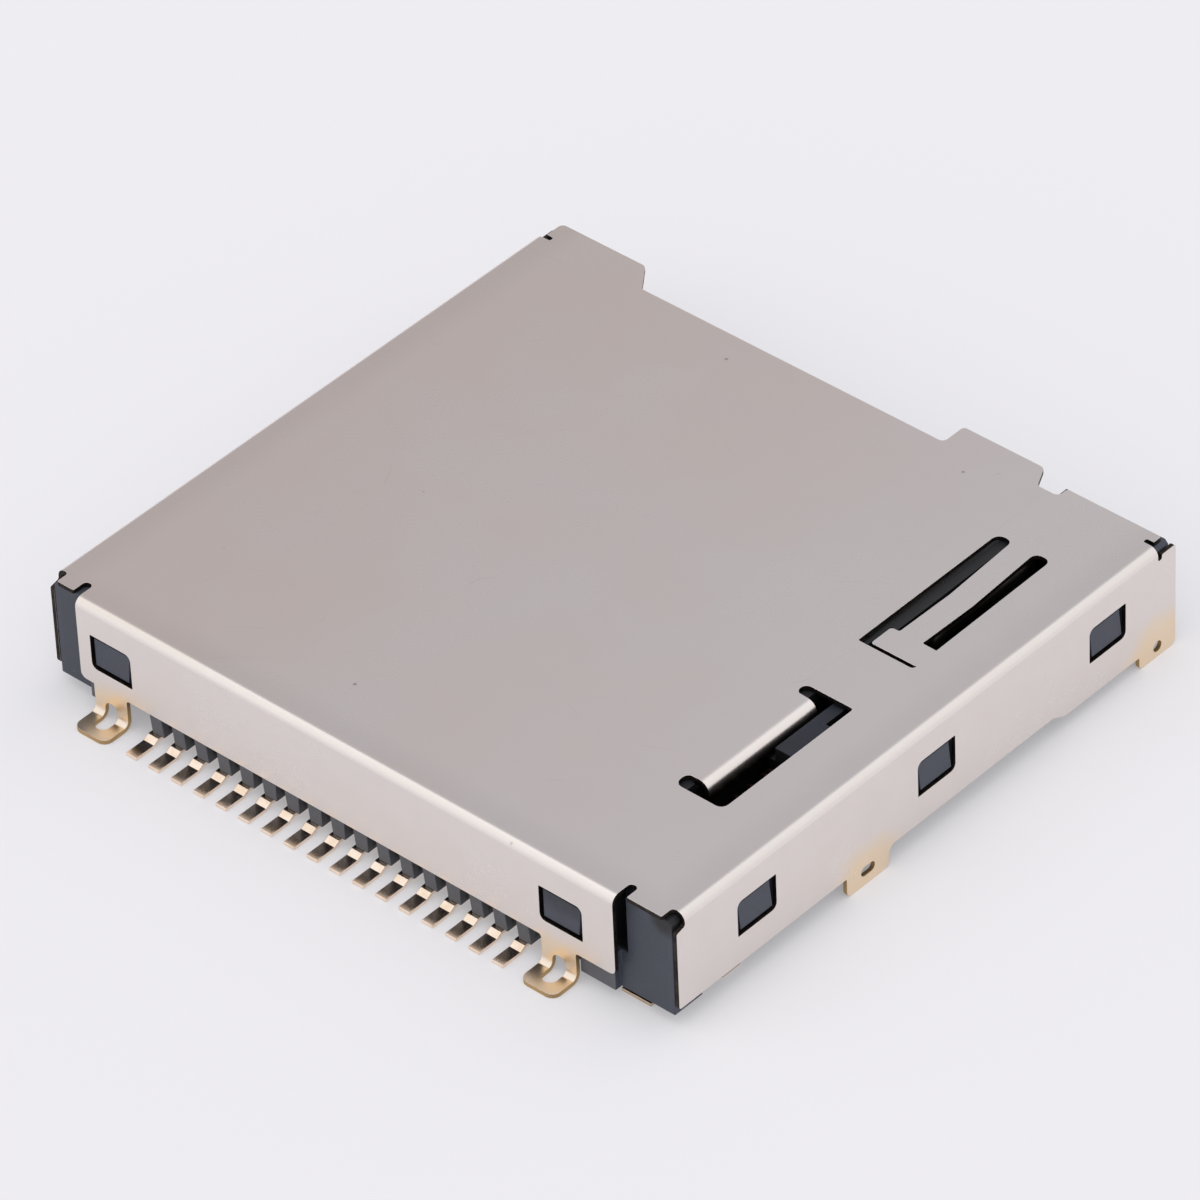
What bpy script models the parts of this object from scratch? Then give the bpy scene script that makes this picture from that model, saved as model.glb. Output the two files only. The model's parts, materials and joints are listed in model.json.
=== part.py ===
"""Card slot connector of a hand-held game console: metal shell, plastic base, contacts and push-push latch.

Frame: +X runs along the row of contacts, +Y points out of the card mouth, +Z is up. The board plane is z = 0
and the origin lies under the middle of the body. Every size is in millimetres; UNIT turns it into metres.
"""
from math import cos, pi, radians, sin, tau

import bmesh
import bpy
from mathutils import Matrix, Vector

UNIT = 0.001
CLEARANCE = 0.05
LAP = 0.2  # how far parts of one solid reach into each other, and a cutter past what it cuts
NEAR = 0.01  # how close a point counts as being on a line
WELD = 0.001  # points of a mesh that lie closer together than this are one

# Corner radii of the punched outlines
CRISP = 0.1
BLUNT = 0.15
SOFT = 0.2
ROUND = 0.3
WIDE = 0.35
FULL_ROUND = 0.96  # radius of a full round end, as a share of half its width

# Row of contacts and the card that it meets
CONTACT_COUNT = 17
CONTACT_PITCH = 1.5
ROW_HALF = (CONTACT_COUNT - 1) / 2 * CONTACT_PITCH
ROW_OFFSET = 1.625
CARD_MARGIN = 4.5
CARD_WIDTH = 2 * (ROW_HALF + CARD_MARGIN)
CARD_PLAY = 0.15

# Overall size. The width follows from the card, the left wall and the latch beside the card.
LATCH_SIDE = 6.7
LEFT_THICK = 0.45
SHEET = 0.25
WIDTH = SHEET + CLEARANCE + LEFT_THICK + CARD_WIDTH + CARD_PLAY + LATCH_SIDE
DEPTH = 37.5
TOP = 6.7
FOLD_RADIUS = 0.5
HALF_WIDTH = WIDTH / 2
REAR = -DEPTH / 2
FRONT = DEPTH / 2
UNDER_PLATE = TOP - SHEET
INNER_HALF = HALF_WIDTH - SHEET
CAVITY_LEFT = -(INNER_HALF - CLEARANCE - LEFT_THICK)
CAVITY_RIGHT = CAVITY_LEFT + CARD_WIDTH + CARD_PLAY

# Shape of the contacts
ROW_X = (CAVITY_LEFT + CAVITY_RIGHT) / 2 + ROW_OFFSET
CONTACT_WIDTH = 0.7
CONTACT_STRIP = 0.2
CONTACT_TIP = 1.45
CONTACT_FOOT_END = 0.2
CONTACT_RUN_TOP = 0.41
CONTACT_RISER_GAP = 0.25
CONTACT_RISER_RUN = 0.35
CONTACT_RISER_ROOM = 0.5
CONTACT_BEAM_ROOT = 1.4
CONTACT_BEAM_LEAD = 0.4
CONTACT_REACH = 8.6
CONTACT_PEAK = 3.0
CONTACT_CROWN = 0.5
CONTACT_CROWN_DROP = 0.15
CONTACT_TAIL = 1.0
CONTACT_TAIL_DROP = 0.9

# Shell outline, distances from the rear face unless a name says otherwise
CORNER_CLEAR = 0.45
FOLD_START = 1.25
SLIT_WIDTH = 0.5
SLIT_DEPTH = 1.35
RELIEF_RADIUS = 0.45
REAR_WALL_LEFT = 2.35
REAR_WALL_RIGHT = 3.4
REAR_WALL_BOTTOM = 1.85
SIDE_WALL_START = 0.65
SIDE_WALL_BACK = 0.1
SIDE_WALL_BOTTOM = 1.2
SHOULDER_DROP = 0.2
SHOULDER_SLANT = 0.15
SIDE_STEP_Y = 28.0
SIDE_STEP_RUN = 0.9
SIDE_FRONT_BOTTOM = 0.78
FOLD_END_BACK = 1.45
FRONT_SLIT = 0.28
CORNER_FRONT_BACK = 0.6
EAR_LEFT_WIDTH = 7.3
EAR_RIGHT_START = HALF_WIDTH - 13.5
EAR_RIGHT_WIDTH = 5.15
EAR_CORNER = 0.4
RECESS_DEPTH = 1.55
EAR_SLANT = 1.15
KEY_NOTCH_WIDTH = 1.3
KEY_NOTCH_DEPTH = 1.3

# Windows that the base snaps into
SIDE_WINDOW_STARTS = (4.9, 17.95, 30.8)
SIDE_WINDOW_WIDTH = 2.75
REAR_WINDOW_WIDTH = 2.7
WINDOW_LOW = 2.85
WINDOW_HIGH = 4.9
WINDOW_RADIUS = 0.35
WINDOW_CORNER = 0.05
LATCH_GAP = 0.18
LATCH_PROUD = 0.2
LATCH_LEAN = 0.2
WINDOW_HOLLOW = 0.2
WINDOW_MARGIN = 0.1

# Solder feet and side tabs of the shell
FOOT_OFFSET = ROW_HALF + 2.65
FOOT_WIDTH = 2.2
FOOT_LENGTH = 1.65
FOOT_BEND = 0.35
FOOT_CORNER = 0.5
FOOT_HOLE_WIDTH = 0.85
FOOT_HOLE_HEIGHT = 1.1
FOOT_HOLE_REACH = 1.05
TAB_START = 12.65
TAB_WIDTH = 3.1
TAB_CORNER = 0.4
TAB_FILLET = 0.45
TAB_HOLE_RISE = 0.85
TAB_HOLE_LENGTH = 1.0
TAB_HOLE_HEIGHT = 0.55
FRONT_TAB_WIDTH = 2.8
FRONT_TAB_HOLE = 0.62
FRONT_TAB_HOLE_RISE = 0.65

# Slot with the folded lip
SLOT_REAR = 8.05
SLOT_FRONT = 17.5
SLOT_RIGHT = HALF_WIDTH - 3.6
LIP_X = HALF_WIDTH - 6.2
LIP_START = 8.97
LIP_END = 16.78
LIP_RADIUS = 0.6
LIP_HEIGHT = 1.6
LOBE_REACH = 0.38
LOBE_RADIUS = 0.34
SLOT_CORNER = 0.42

# Leaf spring cut from the plate
LEAF_LEFT = HALF_WIDTH - 5.85
LEAF_WIDTH = 1.45
LEAF_ROOT = 31.6
LEAF_SLOT = 0.93
LEAF_TIP = 21.85
LEAF_HEAD = 1.7
LEAF_HEAD_LEFT = 0.5
LEAF_HEAD_RIGHT = 0.94
LEAF_HEAD_ROOM = 0.1
LEAF_ROOT_CORNER = 0.38
LEAF_REAR_GAP = 0.25
LEAF_SIDE_GAP = 0.12
LEAF_DIP = 0.3
LEAF_DIP_Y = 27.3
LEAF_TIP_DROP = 0.22

# Plastic base
BASE_UNDER = 0.85
FLOOR_TOP = 2.15
BASE_TOP = UNDER_PLATE - CLEARANCE
BASE_FRONT_BACK = 0.3
BASE_CHAMFER = 0.2
RIB_INSET = 0.15
REAR_BLOCK_BACK = 0.65
REAR_BLOCK_UNDER = 0.68
REAR_BLOCK_TOP = 1.5
REAR_BLOCK_DEEP = 2.6
END_STRIP_UNDER = 0.58
COMB_INSET = 0.3
TOOTH_UNDER = 0.45
TOOTH_WIDTH = 0.8
TOOTH_DEEP = 1.3
TOOTH_ROOT = 2.05
UNDERCUT_HIGH = 1.5
UNDERCUT_DEEP = 1.1
REAR_THICK = 2.35
DIVIDER_THICK = 0.65
DIVIDER_START = 8.2
CHAMBER_WIDTH = 3.6
CHAMBER_FRONT = 33.9
COMB_SLOT_WIDTH = 1.0
COMB_SLOT_END = 10.3
GROOVE_INSET = 0.6
GROOVE_WIDTH = 0.85
GROOVE_LOW = 3.0
GROOVE_DEEP = 1.0
STAND_LENGTH = 12.0
STAND_WIDTH = 8.0

# Slider of the push-push latch
SLIDER_STROKE = 3.4
SLIDER_REAR = 13.35
SLIDER_STEP_Y = 20.5
SLIDER_HIGH = 6.3
SLIDER_LOW = 5.6
SLIDER_NECK_LEFT = HALF_WIDTH - 5.5
SLIDER_LEDGE = 5.5
SLIDER_LEDGE_WIDTH = 0.55
SLIDER_NOTCH_LEFT = HALF_WIDTH - 4.2
SLIDER_NOTCH_REAR = 16.2
SLIDER_NOTCH_FRONT = 18.4
SLIDER_TAIL_WIDTH = 0.95
SLIDER_TAIL_TOP = 6.0
ARM_REAR = 6.3
ARM_THICK = 1.0
ARM_TOP = 3.2
FINGER_REACH = 1.1
FINGER_WIDTH = 1.3
FINGER_TOP = 5.8
CAM_POCKET_WIDTH = 2.5
CAM_POCKET_FLOOR = 4.1
CAM_SIDE_GAP = 0.2
CAM_REAR_GAP = 0.15
CAM_FRONT_ROOM = 0.8
ISLAND_BACK = 1.75
ISLAND_NOSE = 0.15
ISLAND_WIDTH = 0.5
ISLAND_WIDEST = 0.9
ISLAND_END = 0.35
ISLAND_LENGTH = 1.4

# Cam pin: a wire staple that turns about its front leg
PIN_DIAMETER = 0.8
PIN_X = HALF_WIDTH - 4.95
PIN_PIVOT_Y = 34.7
PIN_TIP_Y = 25.0
PIN_AXIS_Z = 5.7
PIN_TIP_Z = 4.25
PIN_PIVOT_Z = 3.6
PIN_BEND = 0.5
PIN_BORE_GAP = 0.08
PIN_SIDE_GAP = 0.15
PIN_UNDER_GAP = 0.1

# Return spring
SPRING_DIAMETER = 1.8
SPRING_WIRE = 0.28
SPRING_X = HALF_WIDTH - 4.55
SPRING_Z = 4.45
SPRING_COILS = 13
SPRING_CLOSED_TURNS = 1.5
SPRING_CLOSED_PITCH = 0.3
SPRING_POCKET = 0.9

# Card-detect switch
SWITCH_STRIP = 0.2
SWITCH_FOOT_LEFT = HALF_WIDTH - 3.95
SWITCH_FOOT_WIDTH = 1.85
SWITCH_FOOT_TIP = 0.95
SWITCH_RISER_Y = 2.75
SWITCH_RISER_WIDTH = 0.8
BLADE_X = HALF_WIDTH - 1.75
BLADE_END = 10.5
BLADE_LOW = 3.0
BLADE_HIGH = 4.2
FIXED_X = HALF_WIDTH - 1.05
FIXED_Y = 4.6
FIXED_END = 9.0
FIXED_FOOT_WIDTH = 0.9
FIXED_FOOT_LENGTH = 1.3
POCKET_LEFT = HALF_WIDTH - 2.1
POCKET_RIGHT = HALF_WIDTH - 0.65
POCKET_START = 2.9
POCKET_END = 12.0

BEND_STEPS = 5
ARC_STEPS = 4
COIL_STEPS = 12
BORE_SIDES = 16

DIVIDER_RIGHT = CAVITY_RIGHT + DIVIDER_THICK
CHAMBER_RIGHT = DIVIDER_RIGHT + CHAMBER_WIDTH
BASE_HALF = INNER_HALF - CLEARANCE
BASE_REAR = REAR + SHEET + CLEARANCE
BASE_FRONT = FRONT - BASE_FRONT_BACK
BLOCK_REAR = REAR + REAR_BLOCK_BACK
CAVITY_REAR = BASE_REAR + REAR_THICK
REAR_LEFT_X = REAR_WALL_LEFT - HALF_WIDTH
REAR_RIGHT_X = HALF_WIDTH - REAR_WALL_RIGHT


def from_rear(distance):
    """Place along Y of something measured from the rear face."""
    return REAR + distance


def contact_x(index):
    """Middle of one contact, counted from 0 at the left."""
    return ROW_X - ROW_HALF + index * CONTACT_PITCH


# Outlines and solids

def rounded(corners):
    """Outline through (a, b, radius) corners, each turned as an arc of its radius."""
    points = []
    for place, (a, b, radius) in enumerate(corners):
        here = Vector((a, b))
        if radius <= 0:
            points.append(here)
            continue
        before = Vector(corners[place - 1][:2]) - here
        after = Vector(corners[(place + 1) % len(corners)][:2]) - here
        half = before.angle(after) / 2
        before.normalize()
        after.normalize()
        centre = here + (before + after).normalized() * (radius / sin(half))
        start = here + before * (radius * cos(half) / sin(half)) - centre
        end = here + after * (radius * cos(half) / sin(half)) - centre
        sweep = end.angle_signed(start)
        for step in range(ARC_STEPS + 1):
            points.append(centre + Matrix.Rotation(sweep * step / ARC_STEPS, 2) @ start)
    return points


def add_box(mesh, low, high):
    """Add one closed box to a bmesh."""
    size = [b - a for a, b in zip(low, high)]
    middle = [(a + b) / 2 for a, b in zip(low, high)]
    place = Matrix.Translation(middle) @ Matrix.Diagonal((*size, 1))
    bmesh.ops.create_cube(mesh, size=1, matrix=place)


def boxes(*limits):
    """A bmesh of separate boxes, each given as (low corner, high corner)."""
    mesh = bmesh.new()
    for low, high in limits:
        add_box(mesh, low, high)
    return mesh


def prism(outline, axis, low, high):
    """Extrude an outline along an axis. Its two numbers are the other two coordinates in X, Y, Z order."""
    mesh = bmesh.new()
    corners = []
    for a, b in outline:
        place = [a, b]
        place.insert("XYZ".index(axis), low)
        corners.append(mesh.verts.new(place))
    face = mesh.faces.new(corners)
    grown = bmesh.ops.extrude_face_region(mesh, geom=[face])
    shift = [0, 0, 0]
    shift["XYZ".index(axis)] = high - low
    moved = [item for item in grown["geom"] if isinstance(item, bmesh.types.BMVert)]
    bmesh.ops.translate(mesh, verts=moved, vec=shift)
    bmesh.ops.recalc_face_normals(mesh, faces=mesh.faces)
    return mesh


def to_object(name, mesh):
    """Link a bmesh to the scene as an object, still in millimetres."""
    data = bpy.data.meshes.new(name)
    mesh.to_mesh(data)
    mesh.free()
    thing = bpy.data.objects.new(name, data)
    bpy.context.scene.collection.objects.link(thing)
    return thing


def bake(thing):
    """Turn an object's modifiers into its mesh."""
    graph = bpy.context.evaluated_depsgraph_get()
    shape = bpy.data.meshes.new_from_object(thing.evaluated_get(graph))
    thing.modifiers.clear()
    thing.data = shape


def combine(thing, mesh, operation):
    """Join a bmesh to an object, or cut it away, with an exact Boolean."""
    tool = to_object("tool", mesh)
    change = thing.modifiers.new("change", "BOOLEAN")
    change.operation = operation
    change.solver = "EXACT"
    change.object = tool
    bake(thing)
    bpy.data.objects.remove(tool)


def add(thing, mesh):
    combine(thing, mesh, "UNION")


def cut(thing, mesh):
    combine(thing, mesh, "DIFFERENCE")


def paint(thing, colour, roughness, metallic):
    """Give an object its own Principled material."""
    material = bpy.data.materials.new(thing.name)
    material.use_nodes = True
    surface = material.node_tree.nodes["Principled BSDF"]
    surface.inputs["Base Color"].default_value = (*colour, 1)
    surface.inputs["Roughness"].default_value = roughness
    surface.inputs["Metallic"].default_value = metallic
    thing.data.materials.clear()
    thing.data.materials.append(material)


def finish(thing, origin=(0, 0, 0)):
    """Clean a mesh, move its origin and bring it from millimetres to metres."""
    mesh = bmesh.new()
    mesh.from_mesh(thing.data)
    bmesh.ops.remove_doubles(mesh, verts=mesh.verts, dist=WELD / 2)
    bmesh.ops.dissolve_degenerate(mesh, edges=mesh.edges, dist=WELD / 2)
    bmesh.ops.dissolve_limit(
        mesh, angle_limit=radians(0.5), verts=mesh.verts, edges=mesh.edges, delimit={"NORMAL"})
    bmesh.ops.triangulate(mesh, faces=mesh.faces)
    bmesh.ops.translate(mesh, verts=mesh.verts, vec=-Vector(origin))
    bmesh.ops.scale(mesh, verts=mesh.verts, vec=(UNIT, UNIT, UNIT))
    mesh.to_mesh(thing.data)
    mesh.free()
    thing.location = Vector(origin) * UNIT


# Folded sheet

def fill(mesh, loops, place):
    """Fill flat loops (an outline and its holes) with faces; place turns (a, b) into a point."""
    edges = []
    for loop in loops:
        corners = [mesh.verts.new(place(a, b)) for a, b in loop]
        for start, end in zip(corners, corners[1:] + corners[:1]):
            edges.append(mesh.edges.new((start, end)))
    bmesh.ops.triangle_fill(mesh, use_beauty=True, use_dissolve=False, edges=edges)


def strip(mesh, start, end, path):
    """Sweep the edge start-end through the offsets of path, one row of faces per offset."""
    previous = [mesh.verts.new(start), mesh.verts.new(end)]
    for offset in path:
        current = [mesh.verts.new(Vector(start) + offset), mesh.verts.new(Vector(end) + offset)]
        mesh.faces.new((previous[0], previous[1], current[1], current[0]))
        previous = current


def bend_path(outward, radius):
    """Offsets of a right-angle bend that starts along outward and turns down."""
    outward = Vector(outward)
    down = Vector((0, 0, -1))
    path = []
    for step in range(1, BEND_STEPS + 1):
        turn = pi / 2 * step / BEND_STEPS
        path.append(outward * (radius * sin(turn)) + down * (radius * (1 - cos(turn))))
    return path


def shell_plate_outline():
    """Outline of the flat top: folds, corner reliefs, slits, ears and notches."""
    fold_x = HALF_WIDTH - FOLD_RADIUS
    fold_y = REAR + FOLD_RADIUS
    clear_y = from_rear(CORNER_CLEAR)
    slit_y = from_rear(SLIT_DEPTH)
    relief_x = fold_x - RELIEF_RADIUS / 2
    fold_end = FRONT - FOLD_END_BACK
    strip_y = fold_end + FRONT_SLIT
    corner_y = FRONT - CORNER_FRONT_BACK
    recess_y = FRONT - RECESS_DEPTH
    ear_left = -HALF_WIDTH + EAR_LEFT_WIDTH - EAR_SLANT
    ear_right = EAR_RIGHT_START
    key_left = ear_right + EAR_RIGHT_WIDTH + KEY_NOTCH_WIDTH / 2
    slit_round = SLIT_WIDTH / 2 * FULL_ROUND
    return [
        (REAR_LEFT_X, fold_y, 0),
        (REAR_RIGHT_X, fold_y, 0),
        (REAR_RIGHT_X, slit_y, slit_round),
        (REAR_RIGHT_X + SLIT_WIDTH, slit_y, slit_round),
        (REAR_RIGHT_X + SLIT_WIDTH, clear_y, CRISP),
        (relief_x, clear_y, CRISP),
        (relief_x, from_rear(FOLD_START), SOFT),
        (fold_x, from_rear(FOLD_START), 0),
        (fold_x, fold_end, 0),
        (fold_x - RELIEF_RADIUS, fold_end, CRISP),
        (fold_x - RELIEF_RADIUS, strip_y, CRISP),
        (fold_x, strip_y, 0),
        (fold_x, corner_y, CRISP),
        (key_left + KEY_NOTCH_WIDTH, corner_y, BLUNT),
        (key_left + KEY_NOTCH_WIDTH, FRONT - KEY_NOTCH_DEPTH, ROUND),
        (key_left, FRONT - KEY_NOTCH_DEPTH, ROUND),
        (ear_right + EAR_RIGHT_WIDTH, FRONT, EAR_CORNER),
        (ear_right, FRONT, SOFT),
        (ear_right, recess_y, ROUND),
        (ear_left + EAR_SLANT, recess_y, ROUND),
        (ear_left, FRONT, EAR_CORNER),
        (-fold_x, FRONT, ROUND),
        (-fold_x, strip_y, 0),
        (RELIEF_RADIUS - fold_x, strip_y, CRISP),
        (RELIEF_RADIUS - fold_x, fold_end, CRISP),
        (-fold_x, fold_end, 0),
        (-fold_x, from_rear(FOLD_START), 0),
        (-relief_x, from_rear(FOLD_START), SOFT),
        (-relief_x, clear_y, CRISP),
        (REAR_LEFT_X - SLIT_WIDTH, clear_y, CRISP),
        (REAR_LEFT_X - SLIT_WIDTH, slit_y, slit_round),
        (REAR_LEFT_X, slit_y, slit_round),
    ]


def lip_slot_outline():
    """Slot whose left edge is the fold of the lip, with a relief lobe at each end of the fold."""
    fold_x = LIP_X
    lobe_x = fold_x - LOBE_REACH
    return [
        (fold_x, from_rear(LIP_START), 0),
        (lobe_x, from_rear(LIP_START), LOBE_RADIUS),
        (lobe_x, from_rear(SLOT_REAR), SLOT_CORNER),
        (SLOT_RIGHT, from_rear(SLOT_REAR), SLOT_CORNER),
        (SLOT_RIGHT, from_rear(SLOT_FRONT), BLUNT),
        (lobe_x, from_rear(SLOT_FRONT), LOBE_RADIUS),
        (lobe_x, from_rear(LIP_END), LOBE_RADIUS),
        (fold_x, from_rear(LIP_END), 0),
    ]


def leaf_slot_outline():
    """One narrow slot that runs around the leaf spring and its wider head."""
    left = LEAF_LEFT - LEAF_SLOT
    right = LEAF_LEFT + LEAF_WIDTH + LEAF_HEAD_RIGHT
    end = LEAF_ROOT + LEAF_SLOT / 2
    head_front = LEAF_TIP + LEAF_HEAD
    round_end = LEAF_SLOT / 2 * FULL_ROUND
    head_left = LEAF_LEFT - LEAF_HEAD_LEFT
    head_right = right - 2 * NEAR
    corners = [
        (left, end, round_end),
        (left, LEAF_TIP - LEAF_REAR_GAP, CRISP),
        (right + LEAF_SIDE_GAP, LEAF_TIP - LEAF_REAR_GAP, SOFT),
        (right + LEAF_SIDE_GAP, head_front, CRISP / 2),
        (right, end, LEAF_ROOT_CORNER),
        (LEAF_LEFT + LEAF_WIDTH, end, LEAF_ROOT_CORNER),
        (LEAF_LEFT + LEAF_WIDTH, head_front, CRISP),
        (head_right, head_front, CRISP / 2),
        (head_right, LEAF_TIP, BLUNT),
        (head_left, LEAF_TIP, BLUNT),
        (head_left, head_front, SOFT),
        (LEAF_LEFT, head_front, CRISP),
        (LEAF_LEFT, end, LEAF_ROOT_CORNER),
    ]
    return [(x, from_rear(y), radius) for x, y, radius in corners]


def side_wall_outline():
    """Outline of a side wall in (y, z), with its two solder tabs."""
    top = TOP - FOLD_RADIUS
    fold_end = FRONT - FOLD_END_BACK
    post = fold_end + FRONT_SLIT
    front = FRONT - SIDE_WALL_BACK
    tab_end = TAB_START + TAB_WIDTH
    front_tab = front - FRONT_TAB_WIDTH
    return [
        (from_rear(FOLD_START), top, 0),
        (from_rear(FOLD_START), top - SHOULDER_DROP, BLUNT),
        (from_rear(SIDE_WALL_START), top - SHOULDER_DROP - SHOULDER_SLANT, CRISP),
        (from_rear(SIDE_WALL_START), SIDE_WALL_BOTTOM, BLUNT),
        (from_rear(TAB_START), SIDE_WALL_BOTTOM, 0),
        (from_rear(TAB_START), 0, TAB_CORNER),
        (from_rear(tab_end), 0, TAB_CORNER),
        (from_rear(tab_end), SIDE_WALL_BOTTOM, TAB_FILLET),
        (from_rear(SIDE_STEP_Y), SIDE_WALL_BOTTOM, CRISP),
        (from_rear(SIDE_STEP_Y + SIDE_STEP_RUN), SIDE_FRONT_BOTTOM, CRISP),
        (front_tab, SIDE_FRONT_BOTTOM, CRISP),
        (front_tab, 0, ROUND),
        (front, 0, TAB_CORNER),
        (front, top, SOFT),
        (post, top, CRISP),
        (post, top - FRONT_SLIT, CRISP),
        (fold_end, top - FRONT_SLIT, CRISP),
        (fold_end, top, 0),
    ]


def side_wall_holes():
    """Snap windows and solder holes of a side wall in (y, z)."""
    holes = []
    for start in SIDE_WINDOW_STARTS:
        near = from_rear(start)
        far = near + SIDE_WINDOW_WIDTH
        holes.append([
            (near, WINDOW_LOW, WINDOW_CORNER), (far, WINDOW_LOW, WINDOW_RADIUS),
            (far, WINDOW_HIGH, WINDOW_CORNER), (near, WINDOW_HIGH, WINDOW_RADIUS)])
    middle = from_rear(TAB_START + TAB_WIDTH / 2)
    holes.append(round_hole(middle, TAB_HOLE_RISE, TAB_HOLE_LENGTH, TAB_HOLE_HEIGHT))
    middle = FRONT - SIDE_WALL_BACK - FRONT_TAB_WIDTH / 2
    holes.append(round_hole(middle, FRONT_TAB_HOLE_RISE, FRONT_TAB_HOLE, FRONT_TAB_HOLE))
    return holes


def round_hole(a, b, length, height):
    """Corners of a hole with full round ends about the middle (a, b)."""
    turn = height / 2 * FULL_ROUND
    left, right = a - length / 2, a + length / 2
    low, high = b - height / 2, b + height / 2
    return [(left, low, turn), (right, low, turn), (right, high, turn), (left, high, turn)]


def foot_centres():
    return (ROW_X - FOOT_OFFSET, ROW_X + FOOT_OFFSET)


def rear_wall_outline():
    """Outline of the rear wall in (x, z), with the necks of its two feet."""
    top = TOP - FOLD_RADIUS
    neck = SHEET + FOOT_BEND
    left, right = foot_centres()
    half = FOOT_WIDTH / 2
    return [
        (REAR_LEFT_X, top, 0),
        (REAR_LEFT_X, REAR_WALL_BOTTOM, WIDE),
        (left - half, REAR_WALL_BOTTOM, 0),
        (left - half, neck, 0),
        (left + half, neck, 0),
        (left + half, REAR_WALL_BOTTOM, BLUNT),
        (right - half, REAR_WALL_BOTTOM, BLUNT),
        (right - half, neck, 0),
        (right + half, neck, 0),
        (right + half, REAR_WALL_BOTTOM, BLUNT),
        (REAR_RIGHT_X, REAR_WALL_BOTTOM, WIDE),
        (REAR_RIGHT_X, top, 0),
    ]


def rear_windows():
    """Snap windows of the rear wall in (x, z)."""
    holes = []
    for centre in foot_centres():
        near = centre - FOOT_WIDTH / 2
        far = near + REAR_WINDOW_WIDTH
        holes.append([
            (near, WINDOW_LOW, WINDOW_RADIUS), (far, WINDOW_LOW, WINDOW_CORNER),
            (far, WINDOW_HIGH, WINDOW_RADIUS), (near, WINDOW_HIGH, WINDOW_CORNER)])
    return holes


def leaf_drop(y):
    """How far the leaf spring lies below the plate at a distance y from the rear face."""
    if y >= LEAF_DIP_Y:
        return LEAF_DIP * (LEAF_ROOT - y) / (LEAF_ROOT - LEAF_DIP_Y)
    reach = min(1, (LEAF_DIP_Y - y) / (LEAF_DIP_Y - LEAF_TIP - LEAF_HEAD))
    return LEAF_DIP + (LEAF_TIP_DROP - LEAF_DIP) * reach


def bend_leaf(mesh):
    """Cut rows across the leaf spring and press them down into its shallow dip."""
    left = LEAF_LEFT - LEAF_HEAD_LEFT - NEAR
    right = LEAF_LEFT + LEAF_WIDTH + LEAF_HEAD_RIGHT - NEAR
    for row in (LEAF_ROOT, LEAF_DIP_Y, LEAF_TIP + LEAF_HEAD):
        bmesh.ops.bisect_plane(
            mesh, geom=mesh.verts[:] + mesh.edges[:] + mesh.faces[:], dist=WELD,
            plane_co=(0, from_rear(row), 0), plane_no=(0, 1, 0))
    for vert in mesh.verts:
        y = vert.co.y - REAR
        on_leaf = LEAF_LEFT - CRISP <= vert.co.x <= LEAF_LEFT + LEAF_WIDTH + CRISP
        on_head = left <= vert.co.x <= right and y <= LEAF_TIP + LEAF_HEAD + NEAR
        if LEAF_TIP - NEAR <= y <= LEAF_ROOT and (on_leaf or on_head):
            vert.co.z -= leaf_drop(y)


def foot_surface(mesh, centre):
    """Upper surface of one solder foot: it bends outward from the rear wall and lies flat."""
    half = FOOT_WIDTH / 2
    neck = SHEET + FOOT_BEND
    path = []
    for step in range(1, BEND_STEPS + 1):
        turn = pi / 2 * step / BEND_STEPS
        path.append(Vector((0, -FOOT_BEND * (1 - cos(turn)), -FOOT_BEND * sin(turn))))
    strip(mesh, (centre - half, REAR, neck), (centre + half, REAR, neck), path)
    flat = REAR - FOOT_BEND
    tip = REAR - FOOT_LENGTH
    outline = rounded([
        (centre - half, flat, 0), (centre - half, tip, FOOT_CORNER),
        (centre + half, tip, FOOT_CORNER), (centre + half, flat, 0)])
    fill(mesh, [outline], lambda x, y: (x, y, SHEET))


def foot_hole(centre):
    """Cutter for the long hole that crosses the bend of a foot."""
    half = FOOT_HOLE_WIDTH / 2
    turn = half * FULL_ROUND
    inner = REAR + SHEET + LAP
    through_wall = rounded([
        (centre - half, -LAP, 0), (centre + half, -LAP, 0),
        (centre + half, FOOT_HOLE_HEIGHT, turn), (centre - half, FOOT_HOLE_HEIGHT, turn)])
    through_foot = rounded([
        (centre - half, REAR - FOOT_HOLE_REACH, turn), (centre + half, REAR - FOOT_HOLE_REACH, turn),
        (centre + half, inner - CLEARANCE, 0), (centre - half, inner - CLEARANCE, 0)])
    wall_part = prism(through_wall, "Y", REAR - FOOT_BEND, inner)
    foot_part = prism(through_foot, "Z", -LAP, SHEET + LAP)
    return wall_part, foot_part


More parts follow.
